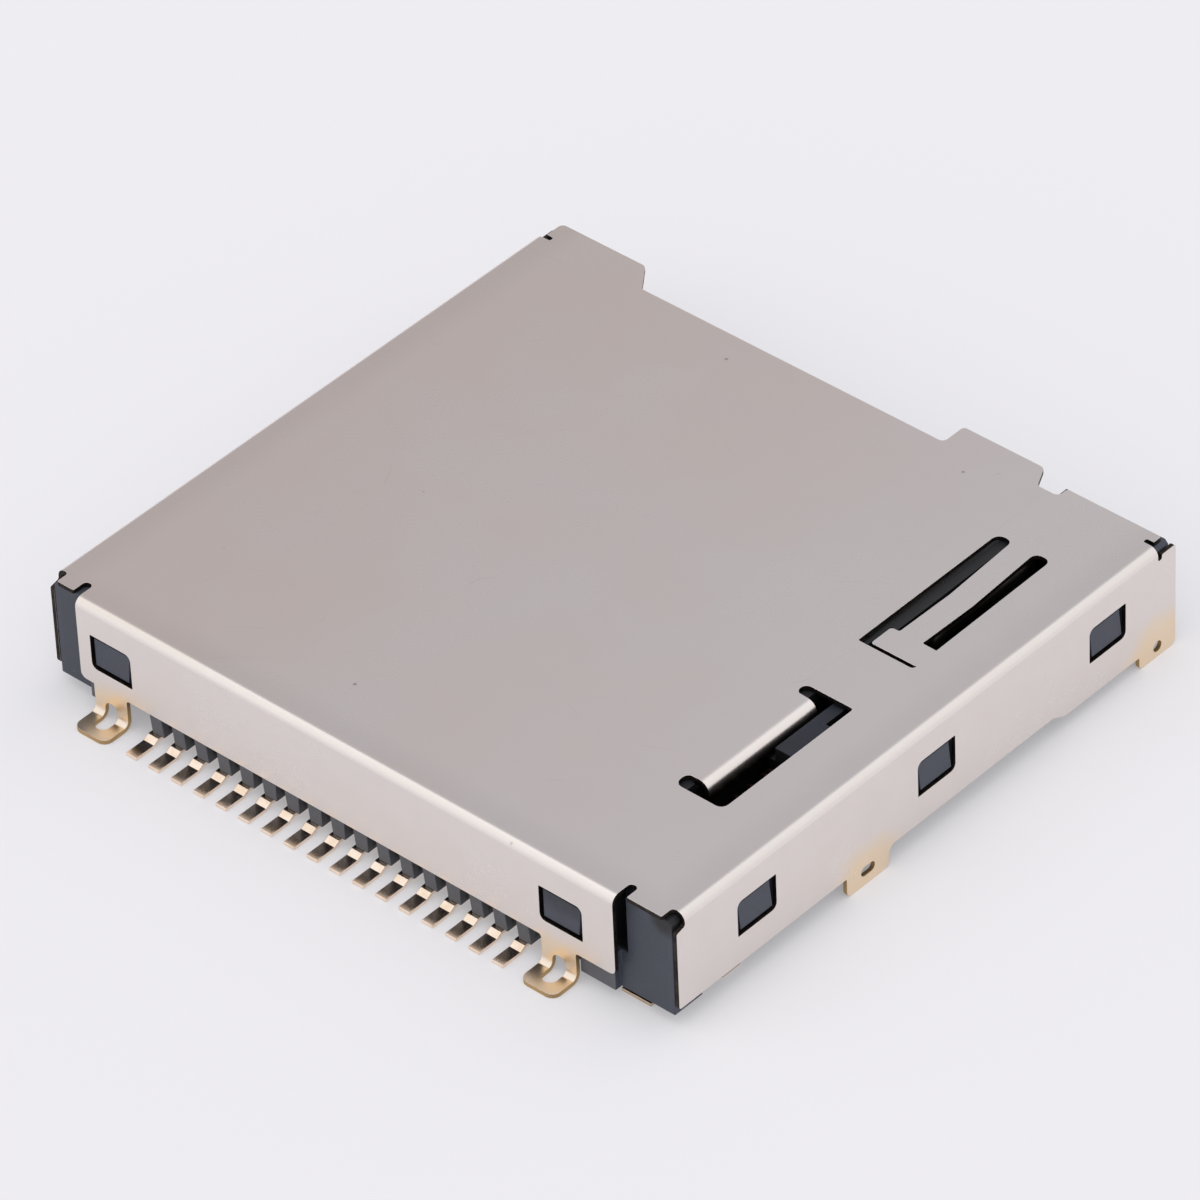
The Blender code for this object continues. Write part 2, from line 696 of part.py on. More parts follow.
def build_shell():
    """The whole shell is one folded sheet: its outer surface is laid out, then thickened inward."""
    mesh = bmesh.new()
    holes = [rounded(lip_slot_outline()), rounded(leaf_slot_outline())]
    fill(mesh, [rounded(shell_plate_outline())] + holes, lambda x, y: (x, y, TOP))
    fold_x = HALF_WIDTH - FOLD_RADIUS
    fold_start = from_rear(FOLD_START)
    fold_end = FRONT - FOLD_END_BACK
    wall_holes = [rounded(hole) for hole in side_wall_holes()]
    for side in (-1, 1):
        path = bend_path((side, 0, 0), FOLD_RADIUS)
        strip(mesh, (side * fold_x, fold_start, TOP), (side * fold_x, fold_end, TOP), path)
        x = side * HALF_WIDTH
        fill(mesh, [rounded(side_wall_outline())] + wall_holes, lambda y, z: (x, y, z))
    path = bend_path((0, -1, 0), FOLD_RADIUS)
    fold_y = REAR + FOLD_RADIUS
    strip(mesh, (REAR_LEFT_X, fold_y, TOP), (REAR_RIGHT_X, fold_y, TOP), path)
    openings = [rounded(window) for window in rear_windows()]
    fill(mesh, [rounded(rear_wall_outline())] + openings, lambda x, z: (x, REAR, z))
    lip_path = bend_path((1, 0, 0), LIP_RADIUS)
    lip_path.append(Vector((LIP_RADIUS, 0, -LIP_HEIGHT)))
    strip(mesh, (LIP_X, from_rear(LIP_START), TOP), (LIP_X, from_rear(LIP_END), TOP), lip_path)
    for centre in foot_centres():
        foot_surface(mesh, centre)
    bmesh.ops.remove_doubles(mesh, verts=mesh.verts, dist=WELD)
    bend_leaf(mesh)
    bmesh.ops.recalc_face_normals(mesh, faces=mesh.faces)
    upward = max(mesh.faces, key=lambda face: face.calc_center_median().z).normal.z
    if upward < 0:
        bmesh.ops.reverse_faces(mesh, faces=mesh.faces)
    shell = to_object("shell", mesh)
    thickness = shell.modifiers.new("thickness", "SOLIDIFY")
    thickness.thickness = SHEET
    thickness.offset = -1
    thickness.use_even_offset = True
    bake(shell)
    for centre in foot_centres():
        for cutter in foot_hole(centre):
            cut(shell, cutter)
    paint(shell, (0.48, 0.44, 0.42), 0.35, 1.0)
    finish(shell)
    return shell


# Plastic base

def comb_outline():
    """Underside of the rear edge in (x, z): one tooth over each contact and a deep notch beside it."""
    left, right = foot_centres()
    left_end = REAR_LEFT_X + COMB_INSET
    right_end = REAR_RIGHT_X - COMB_INSET
    outline = [(right_end, TOOTH_ROOT + LAP), (left_end, TOOTH_ROOT + LAP)]
    outline.append((left_end, END_STRIP_UNDER))
    outline.append((left - FOOT_WIDTH / 2, END_STRIP_UNDER))
    outline.append((left - FOOT_WIDTH / 2, TOOTH_ROOT))
    for index in range(CONTACT_COUNT):
        near = contact_x(index) - TOOTH_WIDTH / 2
        far = contact_x(index) + TOOTH_WIDTH / 2
        outline += [(near, TOOTH_ROOT), (near, TOOTH_UNDER), (far, TOOTH_UNDER), (far, TOOTH_ROOT)]
    outline.append((right + FOOT_WIDTH / 2, TOOTH_ROOT))
    outline.append((right + FOOT_WIDTH / 2, END_STRIP_UNDER))
    outline.append((right_end, END_STRIP_UNDER))
    return outline


def comb_undercut():
    """Slanted cutter in (y, z) that clears the base's lower rear edge between the teeth."""
    slope = (UNDERCUT_HIGH - BASE_UNDER) / UNDERCUT_DEEP
    near = BLOCK_REAR - LAP
    low = BASE_UNDER - LAP
    return [
        (near, low), (BLOCK_REAR + UNDERCUT_DEEP + LAP / slope, low), (near, UNDERCUT_HIGH + LAP * slope)]


def latch_bumps():
    """Blocks on the base that snap into the shell's windows, with leaning sides."""
    low_z = WINDOW_LOW + LATCH_GAP
    high_z = WINDOW_HIGH - LATCH_GAP
    root = WINDOW_HOLLOW + LAP
    bumps = []
    for start in SIDE_WINDOW_STARTS:
        near = from_rear(start) + 2 * CLEARANCE
        far = from_rear(start) + SIDE_WINDOW_WIDTH - LATCH_GAP
        outline = [(near + LATCH_LEAN, low_z), (far, low_z), (far - LATCH_LEAN, high_z), (near, high_z)]
        bumps.append(prism(outline, "X", BASE_HALF - root, BASE_HALF + LATCH_PROUD))
        bumps.append(prism(outline, "X", -BASE_HALF - LATCH_PROUD, root - BASE_HALF))
    for centre in foot_centres():
        near = centre - FOOT_WIDTH / 2 + LATCH_GAP
        far = centre - FOOT_WIDTH / 2 + REAR_WINDOW_WIDTH - 2 * CLEARANCE
        outline = [(near, low_z), (far - LATCH_LEAN, low_z), (far, high_z), (near, high_z)]
        bumps.append(prism(outline, "Y", BASE_REAR - LATCH_PROUD, BASE_REAR + root))
    return bumps


def window_hollows():
    """Shallow hollows of the base behind the shell's windows, so that each bump stands free."""
    low_z = WINDOW_LOW - WINDOW_MARGIN
    high_z = WINDOW_HIGH + WINDOW_MARGIN
    hollows = []
    for start in SIDE_WINDOW_STARTS:
        near = from_rear(start) - WINDOW_MARGIN
        far = from_rear(start) + SIDE_WINDOW_WIDTH + WINDOW_MARGIN
        hollows.append(((BASE_HALF - WINDOW_HOLLOW, near, low_z), (BASE_HALF + LAP, far, high_z)))
        hollows.append(((-BASE_HALF - LAP, near, low_z), (WINDOW_HOLLOW - BASE_HALF, far, high_z)))
    for centre in foot_centres():
        near = centre - FOOT_WIDTH / 2 - WINDOW_MARGIN
        far = centre - FOOT_WIDTH / 2 + REAR_WINDOW_WIDTH + WINDOW_MARGIN
        hollows.append(((near, BASE_REAR - LAP, low_z), (far, BASE_REAR + WINDOW_HOLLOW, high_z)))
    return boxes(*hollows)


def contact_cutters():
    """Room in the base for each contact: a riser hole behind the comb and a long floor slot."""
    riser = []
    slot = []
    for index in range(CONTACT_COUNT):
        x = contact_x(index)
        half = CONTACT_WIDTH / 2 + CLEARANCE
        riser.append((
            (x - half, BASE_REAR + TOOTH_DEEP, 0),
            (x + half, CAVITY_REAR + LAP, CONTACT_BEAM_ROOT + CONTACT_RISER_ROOM)))
        half = COMB_SLOT_WIDTH / 2
        slot.append((
            (x - half, CAVITY_REAR - CLEARANCE, 0), (x + half, from_rear(COMB_SLOT_END), FLOOR_TOP + LAP)))
    return boxes(*riser), boxes(*slot)


def build_base():
    """The moulded base: floor, walls, chamber of the slider, comb over the contacts and latch bumps."""
    inset = BASE_HALF - BASE_CHAMFER
    shoulder = BASE_TOP - BASE_CHAMFER
    block = [
        (-BASE_HALF, BASE_UNDER), (BASE_HALF, BASE_UNDER), (BASE_HALF, shoulder),
        (inset, BASE_TOP), (-inset, BASE_TOP), (-BASE_HALF, shoulder)]
    base = to_object("base", prism(block, "Y", BLOCK_REAR, BASE_FRONT))
    top = BASE_TOP + LAP
    cut(base, boxes(((CAVITY_LEFT, CAVITY_REAR, FLOOR_TOP), (CAVITY_RIGHT, BASE_FRONT + LAP, top))))
    cut(base, boxes((
        (DIVIDER_RIGHT, CAVITY_REAR, FLOOR_TOP), (CHAMBER_RIGHT, from_rear(CHAMBER_FRONT), top))))
    cut(base, boxes((
        (CAVITY_RIGHT - LAP, CAVITY_REAR, FLOOR_TOP), (DIVIDER_RIGHT + LAP, from_rear(DIVIDER_START), top))))
    rib = [
        (BASE_REAR, TOOTH_ROOT), (BLOCK_REAR + LAP, TOOTH_ROOT), (BLOCK_REAR + LAP, BASE_TOP),
        (BASE_REAR + BASE_CHAMFER, BASE_TOP), (BASE_REAR, shoulder)]
    add(base, prism(rib, "X", REAR_LEFT_X + RIB_INSET, REAR_RIGHT_X - RIB_INSET))
    head_left = LEAF_LEFT - LEAF_HEAD_LEFT - LEAF_HEAD_ROOM
    head_rear = from_rear(LEAF_TIP) - LEAF_HEAD_ROOM
    head_front = from_rear(LEAF_TIP + LEAF_HEAD) + LEAF_HEAD_ROOM
    cut(base, boxes((
        (head_left, head_rear, UNDER_PLATE - LEAF_DIP), (DIVIDER_RIGHT + LAP, head_front, top))))
    cut(base, prism(comb_undercut(), "X", ROW_X - FOOT_OFFSET, ROW_X + FOOT_OFFSET))
    add(base, prism(comb_outline(), "Y", BASE_REAR, BASE_REAR + TOOTH_DEEP))
    block_lap = COMB_INSET + LAP
    block_front = from_rear(REAR_BLOCK_DEEP)
    add(base, boxes(
        ((-BASE_HALF, BLOCK_REAR, REAR_BLOCK_UNDER), (REAR_LEFT_X + block_lap, block_front, REAR_BLOCK_TOP)),
        ((REAR_RIGHT_X - block_lap, BLOCK_REAR, REAR_BLOCK_UNDER), (BASE_HALF, block_front, REAR_BLOCK_TOP))))
    groove_left = REAR_RIGHT_X - GROOVE_INSET
    cut(base, boxes((
        (groove_left, REAR, GROOVE_LOW), (groove_left + GROOVE_WIDTH, BLOCK_REAR + GROOVE_DEEP, top))))
    spring_room = SPRING_DIAMETER / 2 + CLEARANCE
    cut(base, boxes((
        (SPRING_X - spring_room, CAVITY_REAR - SPRING_POCKET, SPRING_Z - spring_room),
        (SPRING_X + spring_room, CAVITY_REAR + LAP, SPRING_Z + spring_room))))
    riser, slot = contact_cutters()
    cut(base, riser)
    cut(base, slot)
    cut_pin_seat(base)
    cut_switch_room(base)
    cut(base, boxes((
        (LIP_X, from_rear(LIP_START) - CLEARANCE, TOP - LIP_RADIUS),
        (DIVIDER_RIGHT + LAP, from_rear(LIP_END) + CLEARANCE, top))))
    cut(base, window_hollows())
    for bump in latch_bumps():
        add(base, bump)
    half_length = STAND_LENGTH / 2
    half_width = STAND_WIDTH / 2
    add(base, boxes(((-half_length, -half_width, 0), (half_length, half_width, BASE_UNDER + LAP))))
    paint(base, (0.035, 0.038, 0.045), 0.5, 0.0)
    finish(base)
    return base


def cut_pin_seat(base):
    """Hole for the turning leg of the cam pin, and the groove that its bar swings in."""
    pivot_y = from_rear(PIN_PIVOT_Y)
    bore = PIN_DIAMETER / 2 + PIN_BORE_GAP
    hole = bmesh.new()
    bmesh.ops.create_cone(
        hole, cap_ends=True, segments=BORE_SIDES, radius1=bore, radius2=bore, depth=BASE_TOP,
        matrix=Matrix.Translation((PIN_X, pivot_y, PIN_PIVOT_Z - CLEARANCE + BASE_TOP / 2)))
    cut(base, hole)
    half = PIN_DIAMETER / 2 + PIN_SIDE_GAP
    low = PIN_AXIS_Z - PIN_DIAMETER / 2 - PIN_UNDER_GAP
    cut(base, boxes((
        (PIN_X - half, from_rear(CHAMBER_FRONT) - LAP, low), (PIN_X + half, pivot_y + half, BASE_TOP + LAP))))


def cut_switch_room(base):
    """Pocket for the two switch contacts, the holes of their legs and the slit that the blade leans into."""
    gap = CLEARANCE
    cut(base, boxes((
        (POCKET_LEFT, from_rear(POCKET_START), FLOOR_TOP),
        (POCKET_RIGHT, from_rear(POCKET_END), BASE_TOP + LAP))))
    riser = from_rear(SWITCH_RISER_Y)
    blade_right = BLADE_X + SWITCH_STRIP
    cut(base, boxes((
        (blade_right - SWITCH_RISER_WIDTH - gap, riser - gap, 0),
        (blade_right + gap, riser + SWITCH_STRIP + gap, BLADE_HIGH + gap))))
    fixed = from_rear(FIXED_Y)
    cut(base, boxes((
        (FIXED_X + SWITCH_STRIP - FIXED_FOOT_WIDTH - gap, fixed - gap, 0),
        (FIXED_X + SWITCH_STRIP + gap, fixed + SWITCH_STRIP + gap, FLOOR_TOP + LAP))))


# Moving latch parts

def build_slider():
    """Slider of the latch: body, low front with the cam pocket, tail, and the arm that the card pushes."""
    left = DIVIDER_RIGHT + CLEARANCE
    right = CHAMBER_RIGHT - CLEARANCE
    floor = FLOOR_TOP + CLEARANCE
    front = from_rear(CHAMBER_FRONT) - CLEARANCE
    slider = to_object("slider", boxes((
        (left, from_rear(SLIDER_STEP_Y), floor), (right, front, SLIDER_LOW))))
    ledge_right = SLIDER_NECK_LEFT + SLIDER_LEDGE_WIDTH
    neck = [
        (SLIDER_NECK_LEFT, floor), (right, floor), (right, SLIDER_HIGH),
        (ledge_right, SLIDER_HIGH), (ledge_right, SLIDER_LEDGE), (SLIDER_NECK_LEFT, SLIDER_LEDGE)]
    add(slider, prism(neck, "Y", from_rear(SLIDER_REAR), from_rear(SLIDER_STEP_Y) + LAP))
    cut(slider, boxes((
        (SLIDER_NOTCH_LEFT, from_rear(SLIDER_NOTCH_REAR), SLIDER_LEDGE),
        (right + LAP, from_rear(SLIDER_NOTCH_FRONT), SLIDER_HIGH + LAP))))
    add(slider, boxes((
        (right - SLIDER_TAIL_WIDTH, from_rear(ARM_REAR), floor),
        (right, from_rear(SLIDER_REAR) + LAP, SLIDER_TAIL_TOP))))
    finger_left = CAVITY_RIGHT - FINGER_REACH
    arm_front = from_rear(ARM_REAR + ARM_THICK)
    add(slider, boxes(((finger_left, from_rear(ARM_REAR), floor), (right - LAP, arm_front, ARM_TOP))))
    add(slider, boxes((
        (finger_left, from_rear(ARM_REAR), floor), (finger_left + FINGER_WIDTH, arm_front, FINGER_TOP))))
    pin_under = PIN_AXIS_Z - PIN_DIAMETER / 2 - PIN_UNDER_GAP
    pocket_left = PIN_X - PIN_DIAMETER / 2 - CAM_SIDE_GAP
    pocket_right = pocket_left + CAM_POCKET_WIDTH
    pocket_rear = from_rear(PIN_TIP_Y) - PIN_DIAMETER / 2 - CAM_REAR_GAP
    pocket_front = from_rear(PIN_TIP_Y + SLIDER_STROKE) + CAM_FRONT_ROOM
    top = SLIDER_LOW + LAP
    cut(slider, boxes(((pocket_left, pocket_rear, CAM_POCKET_FLOOR), (pocket_right, pocket_front, top))))
    cut(slider, boxes(((pocket_left, pocket_rear, pin_under), (pocket_right, front + LAP, top))))
    island_y = from_rear(PIN_TIP_Y + ISLAND_BACK)
    island = [
        (pocket_left - LAP, island_y),
        (pocket_left + ISLAND_NOSE, island_y),
        (pocket_left + ISLAND_WIDTH, island_y + ISLAND_WIDEST),
        (pocket_left + ISLAND_END, island_y + ISLAND_LENGTH),
        (pocket_left - LAP, island_y + ISLAND_LENGTH)]
    add(slider, prism(island, "Z", CAM_POCKET_FLOOR - LAP, pin_under - CLEARANCE))
    paint(slider, (0.05, 0.053, 0.06), 0.45, 0.0)
    finish(slider)
    return slider


def wire(name, points, radius, sides):
    """A round wire through a list of points, as one closed mesh."""
    curve = bpy.data.curves.new(name, "CURVE")
    curve.dimensions = "3D"
    curve.bevel_depth = radius
    curve.bevel_resolution = sides
    curve.use_fill_caps = True
    line = curve.splines.new("POLY")
    line.points.add(len(points) - 1)
    for spot, place in zip(line.points, points):
        spot.co = (*place, 1)
    guide = bpy.data.objects.new(name, curve)
    bpy.context.scene.collection.objects.link(guide)
    graph = bpy.context.evaluated_depsgraph_get()
    shape = bpy.data.meshes.new_from_object(guide.evaluated_get(graph))
    bpy.data.objects.remove(guide)
    shape.name = name
    thing = bpy.data.objects.new(name, shape)
    bpy.context.scene.collection.objects.link(thing)
    return thing


def build_pin():
    """Wire staple of the latch. Its origin lies on the axis of its front leg."""
    pivot_y = from_rear(PIN_PIVOT_Y)
    tip_y = from_rear(PIN_TIP_Y)
    path = [Vector((PIN_X, pivot_y, PIN_PIVOT_Z))]
    corners = ((pivot_y - PIN_BEND, 0.0), (tip_y + PIN_BEND, pi / 2))
    for centre_y, first in corners:
        for step in range(ARC_STEPS + 1):
            turn = first + pi / 2 * step / ARC_STEPS
            path.append(Vector((
                PIN_X, centre_y + PIN_BEND * cos(turn), PIN_AXIS_Z - PIN_BEND + PIN_BEND * sin(turn))))
    path.append(Vector((PIN_X, tip_y, PIN_TIP_Z)))
    pin = wire("cam_pin", path, PIN_DIAMETER / 2, 2)
    pin.data.shade_smooth()
    paint(pin, (0.6, 0.58, 0.55), 0.3, 1.0)
    finish(pin, (PIN_X, pivot_y, PIN_AXIS_Z))
    return pin


def build_spring():
    """Return spring: a helix with closed end coils between the base and the slider."""
    start = CAVITY_REAR - SPRING_POCKET + CLEARANCE + SPRING_WIRE / 2
    end = from_rear(SLIDER_REAR) - CLEARANCE - SPRING_WIRE / 2
    radius = (SPRING_DIAMETER - SPRING_WIRE) / 2
    total = SPRING_COILS * COIL_STEPS
    closed = SPRING_CLOSED_TURNS * COIL_STEPS
    tight = SPRING_CLOSED_PITCH / COIL_STEPS
    open_rise = (end - start - 2 * closed * tight) / (total - 2 * closed)
    path = []
    y = start
    for step in range(total + 1):
        turn = tau * step / COIL_STEPS
        path.append(Vector((SPRING_X + radius * cos(turn), y, SPRING_Z + radius * sin(turn))))
        y += tight if step < closed or step >= total - closed else open_rise
    spring = wire("coil_spring", path, SPRING_WIRE / 2, 1)
    spring.data.shade_smooth()
    paint(spring, (0.45, 0.42, 0.38), 0.35, 1.0)
    finish(spring)
    return spring


# Contacts

def ribbon(points, thickness):
    """Closed outline of a bent strip in (y, z), given the middle line of its thickness."""
    line = [Vector(point) for point in points]
    upper = []
    lower = []
    for place, here in enumerate(line):
        before = (here - line[place - 1]).normalized() if place else None
        after = (line[place + 1] - here).normalized() if place < len(line) - 1 else None
        heading = ((before or after) + (after or before)).normalized()
        normal = Vector((-heading.y, heading.x))
        stretch = 1 / max(0.5, heading.dot(before or after))
        upper.append(here + normal * (thickness / 2 * stretch))
        lower.append(here - normal * (thickness / 2 * stretch))
    return upper + lower[::-1]


def build_contact(index):
    """One card contact: solder foot, run under its tooth, riser, and the spring beam in the floor."""
    half = CONTACT_STRIP / 2
    run = CONTACT_RUN_TOP - half
    riser_y = BASE_REAR + TOOTH_DEEP + CONTACT_RISER_GAP
    crown = CONTACT_PEAK - half
    path = [
        (REAR - CONTACT_TIP, half),
        (REAR - CONTACT_FOOT_END, half),
        (REAR + CONTACT_FOOT_END, run),
        (riser_y, run),
        (riser_y + CONTACT_RISER_RUN, CONTACT_BEAM_ROOT),
        (CAVITY_REAR + CONTACT_BEAM_LEAD, CONTACT_BEAM_ROOT),
        (from_rear(CONTACT_REACH - CONTACT_CROWN), crown - CONTACT_CROWN_DROP),
        (from_rear(CONTACT_REACH), crown),
        (from_rear(CONTACT_REACH + CONTACT_CROWN), crown - CONTACT_CROWN_DROP),
        (from_rear(CONTACT_REACH + CONTACT_TAIL), CONTACT_PEAK - CONTACT_TAIL_DROP),
    ]
    x = contact_x(index)
    outline = ribbon(path, CONTACT_STRIP)
    mesh = prism(outline, "X", x - CONTACT_WIDTH / 2, x + CONTACT_WIDTH / 2)
    contact = to_object(f"contact_{index + 1:02d}", mesh)
    paint(contact, (0.75, 0.6, 0.38), 0.3, 1.0)
    finish(contact)
    return contact


def build_switch_blade():
    """Moving contact of the card-detect switch: broad foot, riser and a long upright blade."""
    foot_left = SWITCH_FOOT_LEFT
    foot_right = foot_left + SWITCH_FOOT_WIDTH
    riser = from_rear(SWITCH_RISER_Y)
    blade_right = BLADE_X + SWITCH_STRIP
    blade = to_object("switch_blade", boxes((
        (foot_left, from_rear(SWITCH_FOOT_TIP), 0), (foot_right, riser + SWITCH_STRIP, SWITCH_STRIP))))
    add(blade, boxes((
        (blade_right - SWITCH_RISER_WIDTH, riser, 0), (blade_right, riser + SWITCH_STRIP, BLADE_HIGH))))
    add(blade, boxes(((BLADE_X, riser, BLADE_LOW), (blade_right, from_rear(BLADE_END), BLADE_HIGH))))
    paint(blade, (0.75, 0.6, 0.38), 0.3, 1.0)
    finish(blade)
    return blade


def build_switch_fixed():
    """Fixed contact of the card-detect switch: foot, leg through the floor and an upright plate."""
    near = from_rear(FIXED_Y)
    right = FIXED_X + SWITCH_STRIP
    left = right - FIXED_FOOT_WIDTH
    fixed = to_object("switch_fixed", boxes((
        (left, near, 0), (right, from_rear(FIXED_Y + FIXED_FOOT_LENGTH), SWITCH_STRIP))))
    add(fixed, boxes(((left, near, 0), (right, near + SWITCH_STRIP, BLADE_LOW - LAP))))
    add(fixed, boxes(((FIXED_X, near, FLOOR_TOP + LAP), (right, from_rear(FIXED_END), BLADE_HIGH))))
    paint(fixed, (0.75, 0.6, 0.38), 0.3, 1.0)
    finish(fixed)
    return fixed


def main():
    for thing in list(bpy.data.objects):
        bpy.data.objects.remove(thing)
    build_shell()
    build_base()
    build_slider()
    build_pin()
    build_spring()
    build_switch_blade()
    build_switch_fixed()
    for index in range(CONTACT_COUNT):
        build_contact(index)


main()
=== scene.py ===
"""Looks of a board-mounted card slot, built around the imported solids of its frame.

Sizes in the classes are millimetres in the frame of the solids: +X runs along the row of contacts, +Y
points out of the card mouth and +Z is up from the board. MM turns them into the metres of the scene.
"""

import json
import logging
from dataclasses import dataclass, field
from enum import Enum
from math import atan2, copysign, cos, pi, radians, sin, tan, tau

import bmesh
import bpy
from mathutils import Matrix, Quaternion, Vector
from mathutils.bvhtree import BVHTree


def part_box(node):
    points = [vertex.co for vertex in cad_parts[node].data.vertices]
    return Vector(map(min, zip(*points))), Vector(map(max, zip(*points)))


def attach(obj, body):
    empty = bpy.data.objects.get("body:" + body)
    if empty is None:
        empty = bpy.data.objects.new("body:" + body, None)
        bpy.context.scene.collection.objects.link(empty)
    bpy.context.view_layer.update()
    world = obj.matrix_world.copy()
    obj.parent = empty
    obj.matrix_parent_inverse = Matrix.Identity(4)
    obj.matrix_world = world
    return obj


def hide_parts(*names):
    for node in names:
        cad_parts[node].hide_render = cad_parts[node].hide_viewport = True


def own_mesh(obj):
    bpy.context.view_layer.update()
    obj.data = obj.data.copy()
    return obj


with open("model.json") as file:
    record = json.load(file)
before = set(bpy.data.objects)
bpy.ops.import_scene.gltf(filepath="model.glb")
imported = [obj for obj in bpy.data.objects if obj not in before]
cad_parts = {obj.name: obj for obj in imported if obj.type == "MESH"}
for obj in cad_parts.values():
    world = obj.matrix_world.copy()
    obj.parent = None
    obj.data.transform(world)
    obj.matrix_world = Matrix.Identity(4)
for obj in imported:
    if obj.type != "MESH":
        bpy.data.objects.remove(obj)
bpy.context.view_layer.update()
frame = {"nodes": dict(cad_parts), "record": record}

MM = 0.001
# Points of a copied solid that lie closer than this are one point
WELD = 0.001 * MM
# Edges of a shape that turn by more than this are rounded
SHARP = radians(35)
log = logging.getLogger("card_slot")

Colour = tuple[float, float, float]
Triple = tuple[float, float, float]
Socket = bpy.types.NodeSocket
# Stretch of a grain that is the same every way
EVEN: Triple = (1.0, 1.0, 1.0)


class Body(Enum):
    """Rigid bodies of the frame that a piece can ride on."""

    CONNECTOR = "connector"
    SLIDER = "slider"
    CAM_PIN = "cam_pin"


class Slot(Enum):
    """Material slots of the record."""

    SHELL = "shell"
    BASE = "base"
    SLIDER = "slider"
    PIN = "pin"
    SPRING = "spring"
    CONTACT = "contact"
    SWITCH = "switch"


def opaque(colour: Socket | Colour) -> Socket | tuple[float, ...]:
    """Add the alpha that a colour's socket takes. A linked colour stays as it is."""
    return (*colour, 1.0) if isinstance(colour, tuple) else colour


class Net:
    """Places nodes in one node tree and links them."""

    def __init__(self, tree: bpy.types.NodeTree) -> None:
        """Empty the tree of a material, a world or a node group, and work on it."""
        self.tree = tree
        tree.nodes.clear()

    def add(self, kind: str, inputs: dict | None = None, **settings: object) -> bpy.types.Node:
        """Add one node.

        Args:
            kind: Blender's name of the node type.
            inputs: Values or sockets for its inputs, by name or number.
            settings: Attributes of the node, set before its inputs.

        Returns:
            The new node.
        """
        node = self.tree.nodes.new(kind)
        for name, value in settings.items():
            setattr(node, name, value)
        for name, value in (inputs or {}).items():
            if isinstance(value, Socket):
                self.tree.links.new(value, node.inputs[name])
            else:
                node.inputs[name].default_value = value
        return node

    def math(self, operation: str, *values: Socket | float) -> Socket:
        """Work out one number from numbers."""
        return self.add("ShaderNodeMath", dict(enumerate(values)), operation=operation).outputs[0]

    def vector(self, operation: str, *values: Socket | Triple) -> Socket:
        """Work out one vector from vectors."""
        node = self.add("ShaderNodeVectorMath", dict(enumerate(values)), operation=operation)
        return node.outputs["Vector"]

    def measure(self, operation: str, *values: Socket | Triple) -> Socket:
        """Work out one number from vectors, such as a length or a dot product."""
        node = self.add("ShaderNodeVectorMath", dict(enumerate(values)), operation=operation)
        return node.outputs["Value"]

    def parts(self, value: Socket) -> tuple[Socket, Socket, Socket]:
        """Split a vector into x, y and z."""
        node = self.add("ShaderNodeSeparateXYZ", {"Vector": value})
        return node.outputs["X"], node.outputs["Y"], node.outputs["Z"]

    def ramp(
            self, value: Socket, low: float, high: float, start: float = 0.0, end: float = 1.0
    ) -> Socket:
        """Turn the range low to high smoothly into start to end, and hold both ends beyond it."""
        limits = {"Value": value, "From Min": low, "From Max": high, "To Min": start, "To Max": end}
        return self.add("ShaderNodeMapRange", limits, interpolation_type="SMOOTHSTEP").outputs["Result"]

    def noise(self, place: Socket, size: float, detail: float = 2.0, rough: float = 0.5) -> Socket:
        """Read a noise from 0 to 1, whose lumps have a size in the units of the place."""
        values = {"Vector": place, "Scale": 1 / size, "Detail": detail, "Roughness": rough}
        return self.add("ShaderNodeTexNoise", values).outputs["Fac"]

    def between(self, share: Socket, first: Socket | float, second: Socket | float) -> Socket:
        """Mix two numbers by the share of the second."""
        return self.add("ShaderNodeMix", {0: share, 2: first, 3: second}).outputs[0]

    def mix(self, share: Socket | float, first: Socket | Colour, second: Socket | Colour) -> Socket:
        """Mix two colours by the share of the second."""
        inputs = {0: share, 6: opaque(first), 7: opaque(second)}
        return self.add("ShaderNodeMix", inputs, data_type="RGBA").outputs[2]

    def layers(self, colour: Colour, *layers: tuple[Socket, float, Colour]) -> Socket:
        """Lay tones over a colour.

        Args:
            colour: The colour below.
            layers: Mask, share and tone of each layer, from the lowest up.

        Returns:
            The colour on top.
        """
        for mask, share, tone in layers:
            colour = self.mix(self.math("MULTIPLY", mask, share), colour, tone)
        return colour


